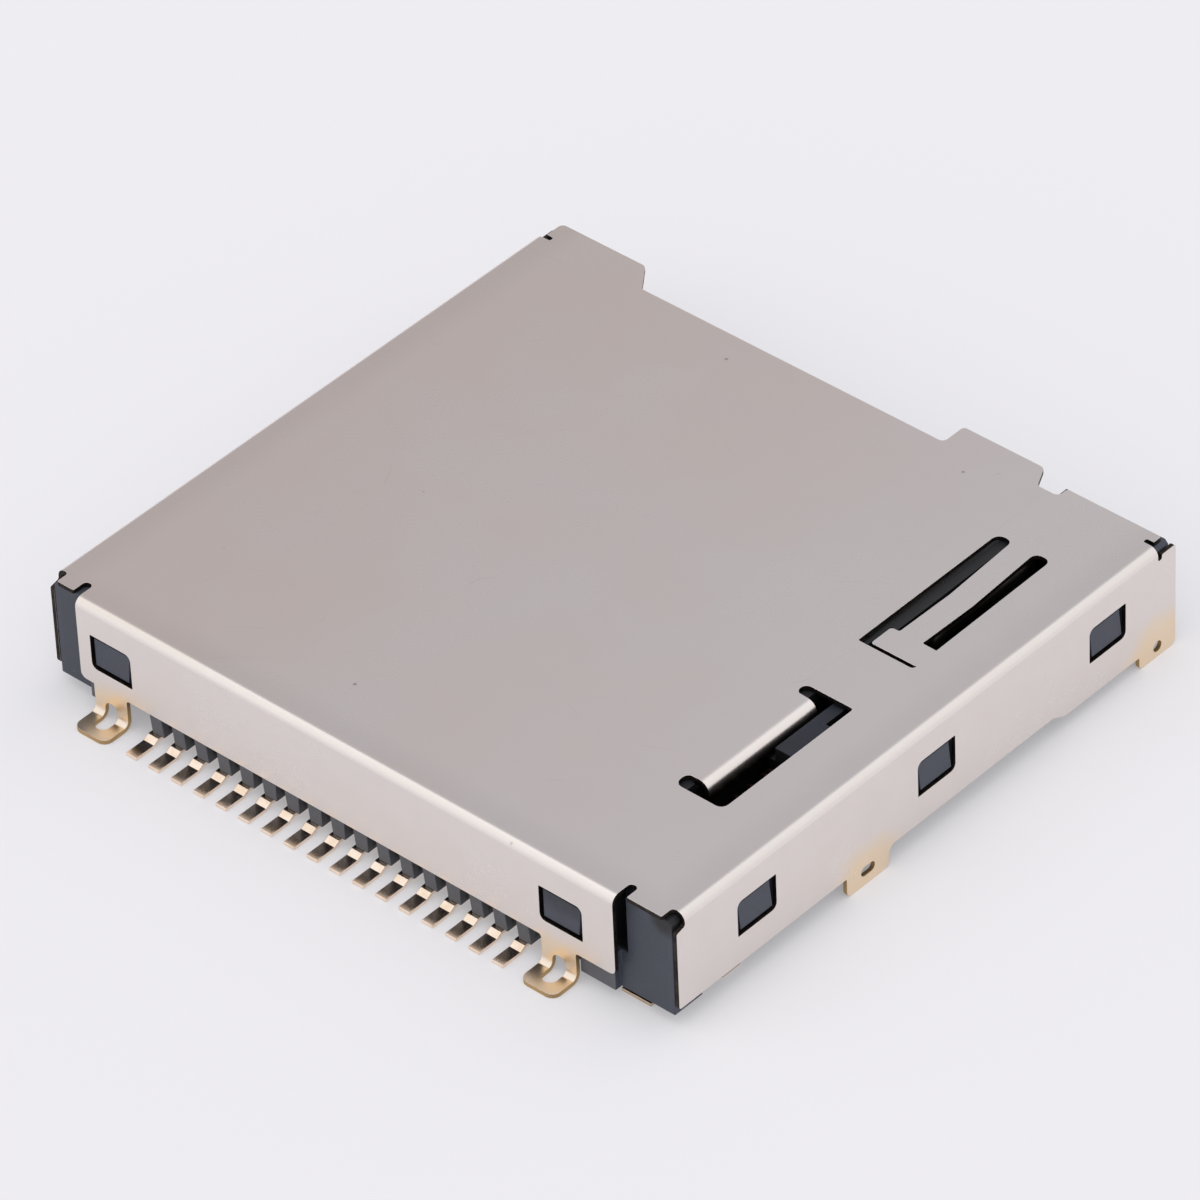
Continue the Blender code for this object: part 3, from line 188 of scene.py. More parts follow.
@dataclass
class EffectShelf:
    """Shader effects of the finishes, each built once as a node group that puts out one value."""

    groups: dict[str, bpy.types.NodeTree] = field(default_factory=dict)

    def build(self) -> None:
        """Make every effect."""
        self.soft_clouds()
        self.fine_grain()
        self.scuffs()
        self.specks()
        self.worn_edges()
        self.flash_spot()

    def start(
            self, name: str, vectors: tuple[str, ...], numbers: tuple[str, ...]
    ) -> tuple[Net, dict[str, Socket]]:
        """Open a new group.

        Args:
            name: Name of the group.
            vectors: Names of its vector inputs.
            numbers: Names of its number inputs.

        Returns:
            The net of the group, and its inputs by name.
        """
        group = bpy.data.node_groups.new(name, "ShaderNodeTree")
        kinds = dict.fromkeys(vectors, "NodeSocketVector") | dict.fromkeys(numbers, "NodeSocketFloat")
        for label, kind in kinds.items():
            group.interface.new_socket(label, in_out="INPUT", socket_type=kind)
        group.interface.new_socket("Value", in_out="OUTPUT", socket_type="NodeSocketFloat")
        self.groups[name] = group
        net = Net(group)
        entry = net.add("NodeGroupInput")
        return net, {label: entry.outputs[label] for label in kinds}

    def soft_clouds(self) -> None:
        """Broad soft patches, as handling and plating leave them."""
        net, given = self.start("soft_clouds", ("Place",), ("Size",))
        scaled = net.vector("DIVIDE", given["Place"], given["Size"])
        net.add("NodeGroupOutput", {"Value": net.ramp(net.noise(scaled, 1.0, 3.0, 0.55), 0.3, 0.7)})

    def fine_grain(self) -> None:
        """Fine grain, drawn out along the axes that Stretch makes longer."""
        net, given = self.start("fine_grain", ("Place", "Stretch"), ("Size",))
        drawn = net.vector("DIVIDE", given["Place"], given["Stretch"])
        scaled = net.vector("DIVIDE", drawn, given["Size"])
        net.add("NodeGroupOutput", {"Value": net.noise(scaled, 1.0, 4.0, 0.6)})

    def scuffs(self) -> None:
        """Sparse thin curved scuffs: contour lines of a noise, kept only in a few places."""
        net, given = self.start("scuffs", ("Place",), ("Size", "Width"))
        waves = net.noise(net.vector("DIVIDE", given["Place"], given["Size"]), 1.0, 0.0)
        steps = net.math("FRACT", net.math("MULTIPLY", waves, 5.0))
        contour = net.math("ABSOLUTE", net.math("SUBTRACT", steps, 0.5))
        line = net.ramp(net.math("DIVIDE", contour, given["Width"]), 0.0, 1.0, 1.0, 0.0)
        kept = net.ramp(net.noise(given["Place"], 3.0, 1.0), 0.56, 0.68)
        net.add("NodeGroupOutput", {"Value": net.math("MULTIPLY", line, kept)})

    def specks(self) -> None:
        """Small round specks, one in a share of the cells."""
        net, given = self.start("specks", ("Place",), ("Spacing", "Share"))
        scaled = net.vector("DIVIDE", given["Place"], given["Spacing"])
        cells = net.add("ShaderNodeTexVoronoi", {"Vector": scaled, "Scale": 1.0})
        dot = net.ramp(cells.outputs["Distance"], 0.04, 0.09, 1.0, 0.0)
        pick = net.add("ShaderNodeSeparateColor", {"Color": cells.outputs["Color"]}).outputs["Red"]
        chosen = net.math("LESS_THAN", pick, given["Share"])
        net.add("NodeGroupOutput", {"Value": net.math("MULTIPLY", dot, chosen)})

    def worn_edges(self) -> None:
        """Edges, found where a rounded normal leaves the true one, broken up by noise."""
        net, given = self.start("worn_edges", ("Place",), ("Width",))
        rounded = net.add("ShaderNodeBevel", {"Radius": given["Width"]}, samples=4)
        flat = net.add("ShaderNodeNewGeometry").outputs["Normal"]
        leaning = net.measure("DOT_PRODUCT", rounded.outputs["Normal"], flat)
        edge = net.ramp(leaning, 0.75, 0.995, 1.0, 0.0)
        broken = net.ramp(net.noise(given["Place"], 0.35, 3.0), 0.3, 0.65, 0.35, 1.0)
        net.add("NodeGroupOutput", {"Value": net.math("MULTIPLY", edge, broken)})

    def flash_spot(self) -> None:
        """Soft oval patch with a ragged rim around one point."""
        net, given = self.start("flash_spot", ("Place", "Centre", "Reach"), ())
        apart = net.vector("SUBTRACT", given["Place"], given["Centre"])
        offset = net.vector("DIVIDE", apart, given["Reach"])
        ragged = net.math("MULTIPLY_ADD", net.noise(given["Place"], 1.6), 0.35, -0.17)
        distance = net.math("ADD", net.measure("LENGTH", offset), ragged)
        net.add("NodeGroupOutput", {"Value": net.ramp(distance, 0.5, 1.05, 1.0, 0.0)})


@dataclass(frozen=True)
class Relief:
    """Fine relief of a surface: its grain size, how far it is drawn out, and its depth."""

    size: float
    stretch: Triple
    depth: float


SPARKED_SKIN = Relief(0.05, EVEN, 0.004)
ROLLED_STRIP = Relief(0.05, (1.0, 14.0, 14.0), 0.00012)
DRAWN_STEEL = Relief(0.03, (1.0, 12.0, 1.0), 0.0008)


@dataclass
class Surface:
    """A material under way: its net, the effects, the place in millimetres and where it faces."""

    net: Net
    shelf: EffectShelf
    place: Socket
    facing: Socket

    def effect(self, name: str, **inputs: object) -> Socket:
        """Place an effect that reads the place, unless another is among its inputs."""
        given = {"Place": self.place, **inputs}
        return self.net.add("ShaderNodeGroup", given, node_tree=self.shelf.groups[name]).outputs[0]


@dataclass(frozen=True)
class Finish:
    """Ground of all finishes: a surface whose patterns read millimetres on the object.

    A finish works out its colour, its roughness and the height of its relief, where 1 is the whole
    depth.
    """

    name: str
    colour: Colour
    rough: float
    metallic: float
    relief: Relief

    def look(self, surface: Surface) -> tuple[Socket, Socket, Socket]:
        """Work out the colour, roughness and height of a finish."""
        raise NotImplementedError(self.name)

    def grain(self, surface: Surface) -> Socket:
        """Grain of the relief, from 0 to 1."""
        return surface.effect("fine_grain", Stretch=self.relief.stretch, Size=self.relief.size)

    def make(self, shelf: EffectShelf) -> bpy.types.Material:
        """Build the material.

        Args:
            shelf: The effects.

        Returns:
            The material.
        """
        material = bpy.data.materials.new(self.name)
        material.use_nodes = True
        net = Net(material.node_tree)
        given = net.add("ShaderNodeTexCoord").outputs
        place = net.add("ShaderNodeMapping", {
            "Vector": given["Object"], "Scale": (1 / MM, 1 / MM, 1 / MM)}).outputs["Vector"]
        colour, rough, height = self.look(Surface(net, shelf, place, given["Normal"]))
        bump = net.add("ShaderNodeBump", {
            "Strength": 1.0, "Distance": self.relief.depth * MM, "Height": height})
        shader = net.add("ShaderNodeBsdfPrincipled", {
            "Base Color": colour, "Roughness": rough, "Metallic": self.metallic,
            "Normal": bump.outputs["Normal"]})
        net.add("ShaderNodeOutputMaterial", {"Surface": shader.outputs["BSDF"]})
        return material


@dataclass(frozen=True)
class GoldSpots:
    """Where gold flash was dipped onto the shell: oval patches around its feet and side tabs."""

    row_x: float
    foot: Triple
    foot_reach: Triple
    tabs: tuple[Triple, ...]
    tab_reach: Triple

    def mask(self, surface: Surface) -> Socket:
        """Add up the patches. Feet are mirrored about the row, tabs about the middle of the body.

        Args:
            surface: The surface.

        Returns:
            The share of gold.
        """
        net = surface.net
        x, y, z = net.parts(surface.place)
        from_row = net.math("ABSOLUTE", net.math("SUBTRACT", x, self.row_x))
        by_row, by_middle = (
            net.add("ShaderNodeCombineXYZ", {"X": across, "Y": y, "Z": z}).outputs[0]
            for across in (from_row, net.math("ABSOLUTE", x)))
        total = surface.effect("flash_spot", Place=by_row, Centre=self.foot, Reach=self.foot_reach)
        for tab in self.tabs:
            spot = surface.effect("flash_spot", Place=by_middle, Centre=tab, Reach=self.tab_reach)
            total = net.math("MAXIMUM", total, spot)
        return total


@dataclass(frozen=True)
class NickelSheet(Finish):
    """Rolled sheet with a satin nickel plating, gold flash at the solder places and grainy folds.

    On the plate the plating is warmer and darker towards the left of the body, partly a broad tone and
    partly a painted reflection. Next to the folds it has painted shade, on their rounds a painted
    highlight, and inside it is near black as painted shade.
    """

    warm_tone_and_shade: Colour
    fold_highlight: Colour
    inside: Colour
    gold: Colour
    spots: GoldSpots
    half_width: float
    rear: float
    top: float
    fold_radius: float
    fold_depth: float
    line_depth: float
    line_drop: float = 0.12
    wall_warmth: float = 0.4
    smudge: Colour = (0.5, 0.45, 0.42)
    fold_shade: Colour = (0.3, 0.27, 0.25)
    scuff: Colour = (0.3, 0.25, 0.2)
    speck: Colour = (0.2, 0.15, 0.12)

    def warm_tone_and_shade_share(self, surface: Surface, broad: Socket) -> Socket:
        """Fade the warmer, darker tone from left to right on the plate, partly a broad tone and partly
        a painted reflection that darkens the left, and keep it even on the walls.

        Args:
            surface: The surface.
            broad: Broad patches that break up the fade.

        Returns:
            The share of the warmer tone and painted shade.
        """
        net = surface.net
        x = net.parts(surface.place)[0]
        across = net.math("MULTIPLY_ADD", x, -0.6 / self.half_width, 0.45)
        patchy = net.math("MULTIPLY_ADD", broad, 0.5, net.math("SUBTRACT", across, 0.25))
        plate = net.math("MINIMUM", net.math("MAXIMUM", patchy, 0.0), 1.0)
        upward = net.parts(surface.facing)[2]
        return net.between(net.ramp(upward, 0.5, 0.95), self.wall_warmth, plate)

    def from_fold(self, surface: Surface) -> Socket:
        """Measure how far a place on the plate is from the nearest outer face.

        Args:
            surface: The surface.

        Returns:
            The distance in millimetres.
        """
        net = surface.net
        x, y = net.parts(surface.place)[:2]
        side = net.math("SUBTRACT", self.half_width, net.math("ABSOLUTE", x))
        return net.math("MINIMUM", side, net.math("SUBTRACT", y, self.rear))

    def within(self, surface: Surface) -> Socket:
        """Find where shade is painted: the inside of the box that the sheet makes, away from faces that
        look up.

        Args:
            surface: The surface.

        Returns:
            The share of the inside.
        """
        net = surface.net
        deep = net.ramp(self.from_fold(surface), self.fold_radius + 0.1, self.fold_radius + 0.3)
        low = net.ramp(net.parts(surface.place)[2], self.top - 0.9, self.top - 0.35, 1.0, 0.0)
        upward = net.parts(surface.facing)[2]
        hidden = net.math("MULTIPLY", low, net.ramp(upward, 0.1, 0.5, 1.0, 0.0))
        return net.math("MULTIPLY", deep, hidden)

    def height(self, surface: Surface, fold: Socket) -> Socket:
        """Add up the relief: satin all over, streaks along the folds and a die line below them.

        Args:
            surface: The surface.
            fold: Share of the round of a fold.

        Returns:
            The height.
        """
        net = surface.net
        sideways, _, upward = net.parts(surface.facing)
        along_x, along_y = (
            surface.effect("fine_grain", Stretch=stretch, Size=0.09)
            for stretch in ((1.0, 9.0, 9.0), (9.0, 1.0, 9.0)))
        leaning = net.ramp(net.math("ABSOLUTE", sideways), 0.05, 0.15)
        streaks = net.between(leaning, along_x, along_y)
        on_fold = net.math("MULTIPLY", streaks, fold)
        total = net.math("MULTIPLY_ADD", on_fold, self.fold_depth, self.grain(surface))
        fold_end = self.top - self.fold_radius - self.line_drop
        apart = net.math("ABSOLUTE", net.math("SUBTRACT", net.parts(surface.place)[2], fold_end))
        die_line = net.ramp(apart, 0.0, 0.07, 1.0, 0.0)
        die_line = net.math("MULTIPLY", die_line, net.ramp(upward, 0.5, 0.7, 1.0, 0.0))
        return net.math("MULTIPLY_ADD", die_line, -self.line_depth, total)

    def look(self, surface: Surface) -> tuple[Socket, Socket, Socket]:
        """Work out the look.

        Args:
            surface: The surface.

        Returns:
            Its colour, roughness and height.
        """
        net = surface.net
        upward = net.parts(surface.facing)[2]
        broad = surface.effect("soft_clouds", Size=11.0)
        small = surface.effect("soft_clouds", Size=1.7)
        lines = surface.effect("scuffs", Size=9.0, Width=0.012)
        dots = surface.effect("specks", Spacing=1.5, Share=0.07)
        fold = net.math(
            "MULTIPLY", net.ramp(upward, 0.03, 0.25), net.ramp(upward, 0.93, 0.995, 1.0, 0.0))
        plating = net.layers(
            self.colour,
            (self.warm_tone_and_shade_share(surface, broad), 1.0, self.warm_tone_and_shade),
            (small, 0.04, self.smudge),
            (net.ramp(self.from_fold(surface), 0.6, 2.6, 0.09, 0.0), 1.0, self.fold_shade),
            (net.math("MULTIPLY", lines, net.ramp(upward, 0.9, 0.99)), 0.1, self.scuff),
            (dots, 0.5, self.speck),
            (self.spots.mask(surface), 1.0, self.gold),
            # Painted shade: the hidden inside of the box is laid near black.
            (self.within(surface), 1.0, self.inside),
            # Painted highlight: a paler colour on the rounds of the folds.
            (fold, 0.35, self.fold_highlight))
        rough = net.math("MULTIPLY_ADD", broad, 0.05, self.rough - 0.03)
        rough = net.math("MULTIPLY_ADD", small, 0.03, rough)
        return plating, rough, self.height(surface, fold)


@dataclass(frozen=True)
class CutEdge(Finish):
    """Punched edge of the sheet: very dark between thin rims of plating, with brighter patches."""

    bright: Colour
    gold: Colour
    spots: GoldSpots

    def look(self, surface: Surface) -> tuple[Socket, Socket, Socket]:
        """Work out the look.

        Args:
            surface: The surface.

        Returns:
            Its colour, roughness and height.
        """
        net = surface.net
        grain = self.grain(surface)
        patches = surface.effect("soft_clouds", Size=0.4)
        gold = self.spots.mask(surface)
        colour = net.layers(self.colour, (patches, 0.5, self.bright), (gold, 1.0, self.gold))
        return colour, net.math("MULTIPLY_ADD", grain, 0.2, self.rough), grain


@dataclass(frozen=True)
class MouldedPlastic(Finish):
    """Glass-filled plastic with a fine sparked skin, paler edges, a little dust and painted shade in
    dark places.

    The painted shade darkens all that lies deeper than the skin of its box, ovals of a centre and a
    reach, and a share of the faces that don't look up.
    """

    pale: Colour
    edge_width: float
    mottle: float
    box: tuple[Vector, Vector]
    skin_depth: float = 0.5
    ovals: tuple[tuple[Triple, Triple], ...] = ()
    shaded_sides: float = 0.0
    shade_darkening: float = 0.12
    dust: Colour = (0.3, 0.3, 0.31)

    def painted_shade(self, surface: Surface) -> Socket:
        """Add up the painted shade.

        Args:
            surface: The surface.

        Returns:
            The share of painted shade.
        """
        net = surface.net
        low, high = self.box
        below = net.vector("SUBTRACT", high, surface.place)
        above = net.vector("SUBTRACT", surface.place, low)
        x, y, z = net.parts(net.vector("MINIMUM", below, above))
        least = net.math("MINIMUM", net.math("MINIMUM", x, y), z)
        total = net.ramp(least, self.skin_depth, self.skin_depth + 0.3)
        for centre, reach in self.ovals:
            oval = surface.effect("flash_spot", Centre=centre, Reach=reach)
            total = net.math("MAXIMUM", total, oval)
        sides = net.ramp(net.parts(surface.facing)[2], 0.3, 0.8, self.shaded_sides, 0.0)
        return net.math("MAXIMUM", total, sides)

    def look(self, surface: Surface) -> tuple[Socket, Socket, Socket]:
        """Work out the look.

        Args:
            surface: The surface.

        Returns:
            Its colour, roughness and height.
        """
        net = surface.net
        flow = surface.effect("soft_clouds", Size=0.9)
        glass = net.ramp(surface.effect("fine_grain", Stretch=EVEN, Size=0.12), 0.45, 0.75)
        edges = surface.effect("worn_edges", Width=self.edge_width * MM)
        dust = surface.effect("specks", Spacing=0.8, Share=0.12)
        # Painted shade: a darkened copy of the colour, laid on deep places, ovals and sides.
        shaded_colour = tuple(part * self.shade_darkening for part in self.colour)
        colour = net.layers(
            self.colour,
            (flow, self.mottle, self.pale),
            (glass, self.mottle, self.pale),
            (edges, 0.4, self.pale),
            (dust, 0.2, self.dust),
            (self.painted_shade(surface), 1.0, shaded_colour))
        rough = net.math("MULTIPLY_ADD", flow, 0.1, self.rough)
        return colour, rough, self.grain(surface)


@dataclass(frozen=True)
class GoldStrip(Finish):
    """Strip of spring alloy under thin gold, with rolling streaks and a browner cast here and there."""

    brown: Colour
    edge_width: float = 0.03

    def look(self, surface: Surface) -> tuple[Socket, Socket, Socket]:
        """Work out the look.

        Args:
            surface: The surface.

        Returns:
            Its colour, roughness and height.
        """
        net = surface.net
        streaks = self.grain(surface)
        cast = surface.effect("soft_clouds", Size=0.8)
        edges = surface.effect("worn_edges", Width=self.edge_width * MM)
        colour = net.layers(self.colour, (cast, 0.35, self.brown), (edges, 0.5, self.brown))
        rough = net.math("MULTIPLY_ADD", streaks, 0.16, self.rough - 0.08)
        return colour, rough, streaks


@dataclass(frozen=True)
class DrawnWire(Finish):
    """Drawn steel wire, painted dark for the shade it sits in, with faint die lines and a thin film of
    grease.
    """

    film: Colour

    def look(self, surface: Surface) -> tuple[Socket, Socket, Socket]:
        """Work out the look.

        Args:
            surface: The surface.

        Returns:
            Its colour, roughness and height.
        """
        net = surface.net
        grease = surface.effect("soft_clouds", Size=1.1)
        colour = net.layers(self.colour, (grease, 0.6, self.film))
        rough = net.math("MULTIPLY_ADD", grease, 0.15, self.rough)
        return colour, rough, self.grain(surface)


def merged_copy(node: str) -> bmesh.types.BMesh:
    """Copy a solid's mesh and weld its loose triangles.

    Args:
        node: Name of the solid.

    Returns:
        The welded copy, in metres.
    """
    mesh = bmesh.new()
    mesh.from_mesh(frame["nodes"][node].data)
    bmesh.ops.remove_doubles(mesh, verts=mesh.verts, dist=WELD)
    mesh.normal_update()
    return mesh


def join_flats(mesh: bmesh.types.BMesh) -> None:
    """Join triangles that lie in one plane, without crossing from one finish to another."""
    bmesh.ops.dissolve_limit(
        mesh, angle_limit=radians(1), verts=mesh.verts, edges=mesh.edges, delimit={"MATERIAL"})


def end_face(grown: list) -> bmesh.types.BMFace:
    """Find the face among the geometry that an operator grew."""
    return next(item for item in grown if isinstance(item, bmesh.types.BMFace))


def close_bar(mesh: bmesh.types.BMesh) -> bmesh.types.BMesh:
    """Finish a bar that was drawn in millimetres.

    The section faces that are left inside it are deleted, it is scaled to metres, and its faces are
    turned outwards.

    Args:
        mesh: The bar.

    Returns:
        The same bar.
    """
    inner = [face for face in mesh.faces if all(len(edge.link_faces) > 2 for edge in face.edges)]
    bmesh.ops.delete(mesh, geom=inner, context="FACES_ONLY")
    bmesh.ops.scale(mesh, verts=mesh.verts, vec=(MM, MM, MM))
    bmesh.ops.recalc_face_normals(mesh, faces=mesh.faces)
    return mesh


def link_piece(
        mesh: bmesh.types.BMesh, name: str, body: Body, slot: Slot, *nodes: str
) -> bpy.types.Object:
    """Turn a bmesh in metres into a piece that rides on a body and stands for solids.

    Args:
        mesh: The shape. It is freed.
        name: Name of the piece.
        body: Body that it rides on.
        slot: Not used.
        nodes: Solids that it stands for.

    Returns:
        The piece's object.
    """
    data = bpy.data.meshes.new(name)
    mesh.to_mesh(data)
    mesh.free()
    data.shade_smooth()
    piece = bpy.data.objects.new(name, data)
    bpy.context.scene.collection.objects.link(piece)
    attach(piece, body.value)
    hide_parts(*nodes)
    return piece


def soften(piece: bpy.types.Object, width: float, segments: int = 2) -> None:
    """Round the edges of a piece and keep its flats flat in the shading.

    Args:
        piece: The piece.
        width: Width of the rounding in millimetres.
        segments: Rows of faces across it.
    """
    mesh = bmesh.new()
    mesh.from_mesh(piece.data)
    sharp = [edge for edge in mesh.edges if edge.is_manifold and edge.calc_face_angle() > SHARP]
    bmesh.ops.bevel(
        mesh, geom=sharp, offset=width * MM, offset_type="OFFSET", segments=segments, profile=0.5,
        affect="EDGES", material=-1, clamp_overlap=False, miter_outer="ARC", spread=0.1 * width * MM)
    mesh.to_mesh(piece.data)
    mesh.free()
    keep_flats(piece.data)


def keep_flats(mesh: bpy.types.Mesh) -> None:
    """Give every vertex a normal that follows the largest faces around it.

    Args:
        mesh: The mesh, shaded smooth.
    """
    normals = [Vector() for _ in mesh.vertices]
    for face in mesh.polygons:
        pull = face.normal * (face.area / MM ** 2) ** 2
        for number in face.vertices:
            normals[number] += pull
    mesh.normals_split_custom_set_from_vertices([normal.normalized() for normal in normals])


def box_mm(node: str) -> tuple[Vector, Vector]:
    """Find the lowest and highest corners of a solid, in millimetres."""
    low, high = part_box(node)
    return low / MM, high / MM


def dress(piece: bpy.types.Object, *materials: bpy.types.Material) -> None:
    """Give a piece its materials in the order of its faces' indices."""
    for material in materials:
        piece.data.materials.append(material)


@dataclass
class DrawnSection:
    """A bar that is drawn out of its section along a path in a plane of constant X, bent on the way."""

    mesh: bmesh.types.BMesh
    end: bmesh.types.BMFace
    place: Vector
    turn: float
    bend_step: float = radians(12)

    @classmethod
    def strip(cls, width: float, thickness: float, place: Triple, turn: float) -> "DrawnSection":
        """Start from a flat strip's section.

        Args:
            width: Size along X.
            thickness: Size across the strip.
            place: Middle of the section.
            turn: Direction of the path, as an angle from +Y towards +Z.

        Returns:
            The started bar.
        """
        mesh = bmesh.new()
        bmesh.ops.create_grid(mesh, x_segments=1, y_segments=1, size=0.5)
        bmesh.ops.scale(mesh, verts=mesh.verts, vec=(width, thickness, 1))
        return cls.begin(mesh, place, turn)

    @classmethod
    def wire(cls, diameter: float, sides: int, place: Triple, turn: float) -> "DrawnSection":
        """Start from a round wire's section.

        Args:
            diameter: Diameter of the wire.
            sides: Number of its sides.
            place: Middle of the section.
            turn: Direction of the path, as an angle from +Y towards +Z.

        Returns:
            The started bar.
        """
        mesh = bmesh.new()
        bmesh.ops.create_circle(mesh, cap_ends=True, radius=diameter / 2, segments=sides)
        return cls.begin(mesh, place, turn)

    @classmethod
    def begin(cls, mesh: bmesh.types.BMesh, place: Triple, turn: float) -> "DrawnSection":
        """Stand a flat section at the start of its path.

        Args:
            mesh: One face about the origin, seen along +Z.
            place: Middle of the section.
            turn: Direction of the path.

        Returns:
            The started bar.
        """
        stand = Matrix.Translation(place) @ Matrix.Rotation(turn - pi / 2, 4, "X")
        bmesh.ops.transform(mesh, matrix=stand, verts=mesh.verts)
        mesh.faces.ensure_lookup_table()
        return cls(mesh, mesh.faces[0], Vector(place), turn)

    def run(self, length: float) -> None:
        """Draw the section straight on.

        Args:
            length: How far.
        """
        step = Vector((0, cos(self.turn), sin(self.turn))) * length
        self.end = end_face(bmesh.ops.extrude_face_region(self.mesh, geom=[self.end])["geom"])
        bmesh.ops.translate(self.mesh, verts=self.end.verts[:], vec=step)
        self.place += step

    def bend(self, angle: float, radius: float) -> None:
        """Bend the path.

        Args:
            angle: How far it turns, towards +Z from +Y if positive.
            radius: Radius of the middle line.
        """
        across = Vector((0, -sin(self.turn), cos(self.turn)))
        centre = self.place + across * copysign(radius, angle)
        steps = max(2, round(abs(angle) / self.bend_step))
        grown = bmesh.ops.spin(
            self.mesh, geom=[self.end], cent=centre, axis=(1, 0, 0), dvec=(0, 0, 0), angle=angle,
            steps=steps, use_merge=False, use_duplicate=False)["geom_last"]
        self.end = end_face(grown)
        self.place = centre + Matrix.Rotation(angle, 3, "X") @ (self.place - centre)
        self.turn += angle

    def follow(self, corners: list[tuple[float, float, float]], last: tuple[float, float]) -> None:
        """Draw the section through corners that are turned as arcs.

        Args:
            corners: (y, z, radius) of each corner.
            last: (y, z) of the end.
        """
        for number, (y, z, radius) in enumerate(corners):
            after = corners[number + 1] if number + 1 < len(corners) else last
            heading = atan2(after[1] - z, after[0] - y)
            angle = (heading - self.turn + pi) % tau - pi
            tangent = radius * tan(abs(angle) / 2)
            here = Vector((self.place.x, y, z))
            self.run((here - self.place).length - tangent)
            self.bend(angle, radius)
        self.run((Vector((self.place.x, *last)) - self.place).length)


@dataclass(frozen=True)
class Nudge:
    """A box, in millimetres, and how far the corners of a shape that lie in it move."""

    low: Triple
    high: Triple
    shift: Triple

    def apply(self, mesh: bmesh.types.BMesh) -> None:
        """Move the vertices inside the box.

        Args:
            mesh: The shape, in metres.
        """
        inside = [
            vert for vert in mesh.verts
            if all(low < place / MM < high for low, place, high in zip(self.low, vert.co, self.high))]
        bmesh.ops.translate(mesh, verts=inside, vec=Vector(self.shift) * MM)


@dataclass
class Shell:
    """The folded metal shell, with its plated faces and its punched edges in two finishes.

    The nudges put a few edges where the photograph shows them: the folded lip stands further to the
    right with its lower edge higher, and the rear edge of the leaf's head further forward.
    """

    shelf: EffectShelf
    depth: float = 37.5
    sheet: float = 0.25
    sheet_play: float = 0.012
    skin: float = 0.02
    fold_radius: float = 0.5
    rounding: float = 0.018
    foot_gold: tuple[float, float] = (1.3, 0.2)
    foot_reach: Triple = (2.5, 3.0, 2.5)
    rear_tab: float = -4.55
    front_tab_inset: float = 1.5
    tab_reach: Triple = (3.0, 3.3, 2.9)
    gold: Colour = (0.86, 0.7, 0.52)
    lip_x: tuple[float, float] = (14.04, 14.8)
    lip_ends: tuple[tuple[float, float], ...] = ((-9.79, -9.77), (-1.98, -1.96))
    lip_edges: tuple[tuple[float, float, float], ...] = ((5.9, 6.8, 0.0), (5.0, 5.3, 0.5))
    lip_shift: float = 0.35
    leaf_edge: Nudge = Nudge((13.9, 3.05, 6.1), (16.9, 3.3, 6.6), (0.0, 0.16, 0.0))

    def nudges(self) -> list[Nudge]:
        """Work out the moves of the lip's upper and lower edges, and of the leaf's edge.

        Returns:
            The nudges.
        """
        left, right = self.lip_x
        lip = [
            Nudge((left, rear, low), (right, front, high), (self.lip_shift, 0.0, rise))
            for rear, front in self.lip_ends for low, high, rise in self.lip_edges]
        return [*lip, self.leaf_edge]

    def spots(self) -> GoldSpots:
        """Place the gold flash by the solder feet that the record names, and by the side tabs.

        Returns:
            The oval patches.
        """
        mounts = {mount["name"]: Vector(mount["pos_m"]) / MM for mount in frame["record"]["mounts"]}
        left, right = mounts["left_solder_foot"], mounts["right_solder_foot"]
        high = box_mm("shell")[1]
        forward, rise = self.foot_gold
        tab_places = (self.rear_tab, high.y - self.front_tab_inset)
        return GoldSpots(
            row_x=(left.x + right.x) / 2,
            foot=((right.x - left.x) / 2, right.y + forward, rise), foot_reach=self.foot_reach,
            tabs=tuple((high.x, y, 0.0) for y in tab_places), tab_reach=self.tab_reach)

    def mark_cut_edges(self, mesh: bmesh.types.BMesh) -> None:
        """Give the second finish to faces with more behind them than the thickness of the sheet.

        Args:
            mesh: The shell, in metres.
        """
        tree = BVHTree.FromBMesh(mesh)
        skin = self.skin * MM
        limit = (self.sheet + self.sheet_play) * MM
        for face in mesh.faces:
            start = face.calc_center_median() - face.normal * skin
            distance = tree.ray_cast(start, -face.normal)[3]
            face.material_index = int(not distance or distance + skin > limit)

    def build(self) -> list[bpy.types.Object]:
        """Build the shell.

        Returns:
            Its piece.
        """
        mesh = merged_copy("shell")
        self.mark_cut_edges(mesh)
        join_flats(mesh)
        for nudge in self.nudges():
            nudge.apply(mesh)
        shell = link_piece(mesh, "nickel_shell", Body.CONNECTOR, Slot.SHELL, "shell")
        soften(shell, self.rounding)
        spots = self.spots()
        high = box_mm("shell")[1]
        # The plate's inside colour is near-black painted shade, its warmer tone partly a painted
        # reflection and its paler fold colour a painted highlight.
        plate = NickelSheet(
            "nickel_plate", (0.86, 0.815, 0.79), rough=0.28, metallic=1.0,
            relief=Relief(0.06, EVEN, 0.0006), warm_tone_and_shade=(0.8, 0.71, 0.65), fold_highlight=(0.97, 0.9, 0.87),
            inside=(0.05, 0.04, 0.035), gold=self.gold, spots=spots, half_width=high.x,
            rear=high.y - self.depth, top=high.z, fold_radius=self.fold_radius, fold_depth=9.0,
            line_depth=5.0)
        edge = CutEdge(
            "punched_edge", (0.02, 0.018, 0.017), rough=0.45, metallic=1.0,
            relief=Relief(0.05, (1.0, 1.0, 4.0), 0.004), bright=(0.09, 0.07, 0.055),
            gold=(0.55, 0.38, 0.19), spots=spots)
        dress(shell, plate.make(self.shelf), edge.make(self.shelf))
        return [shell]


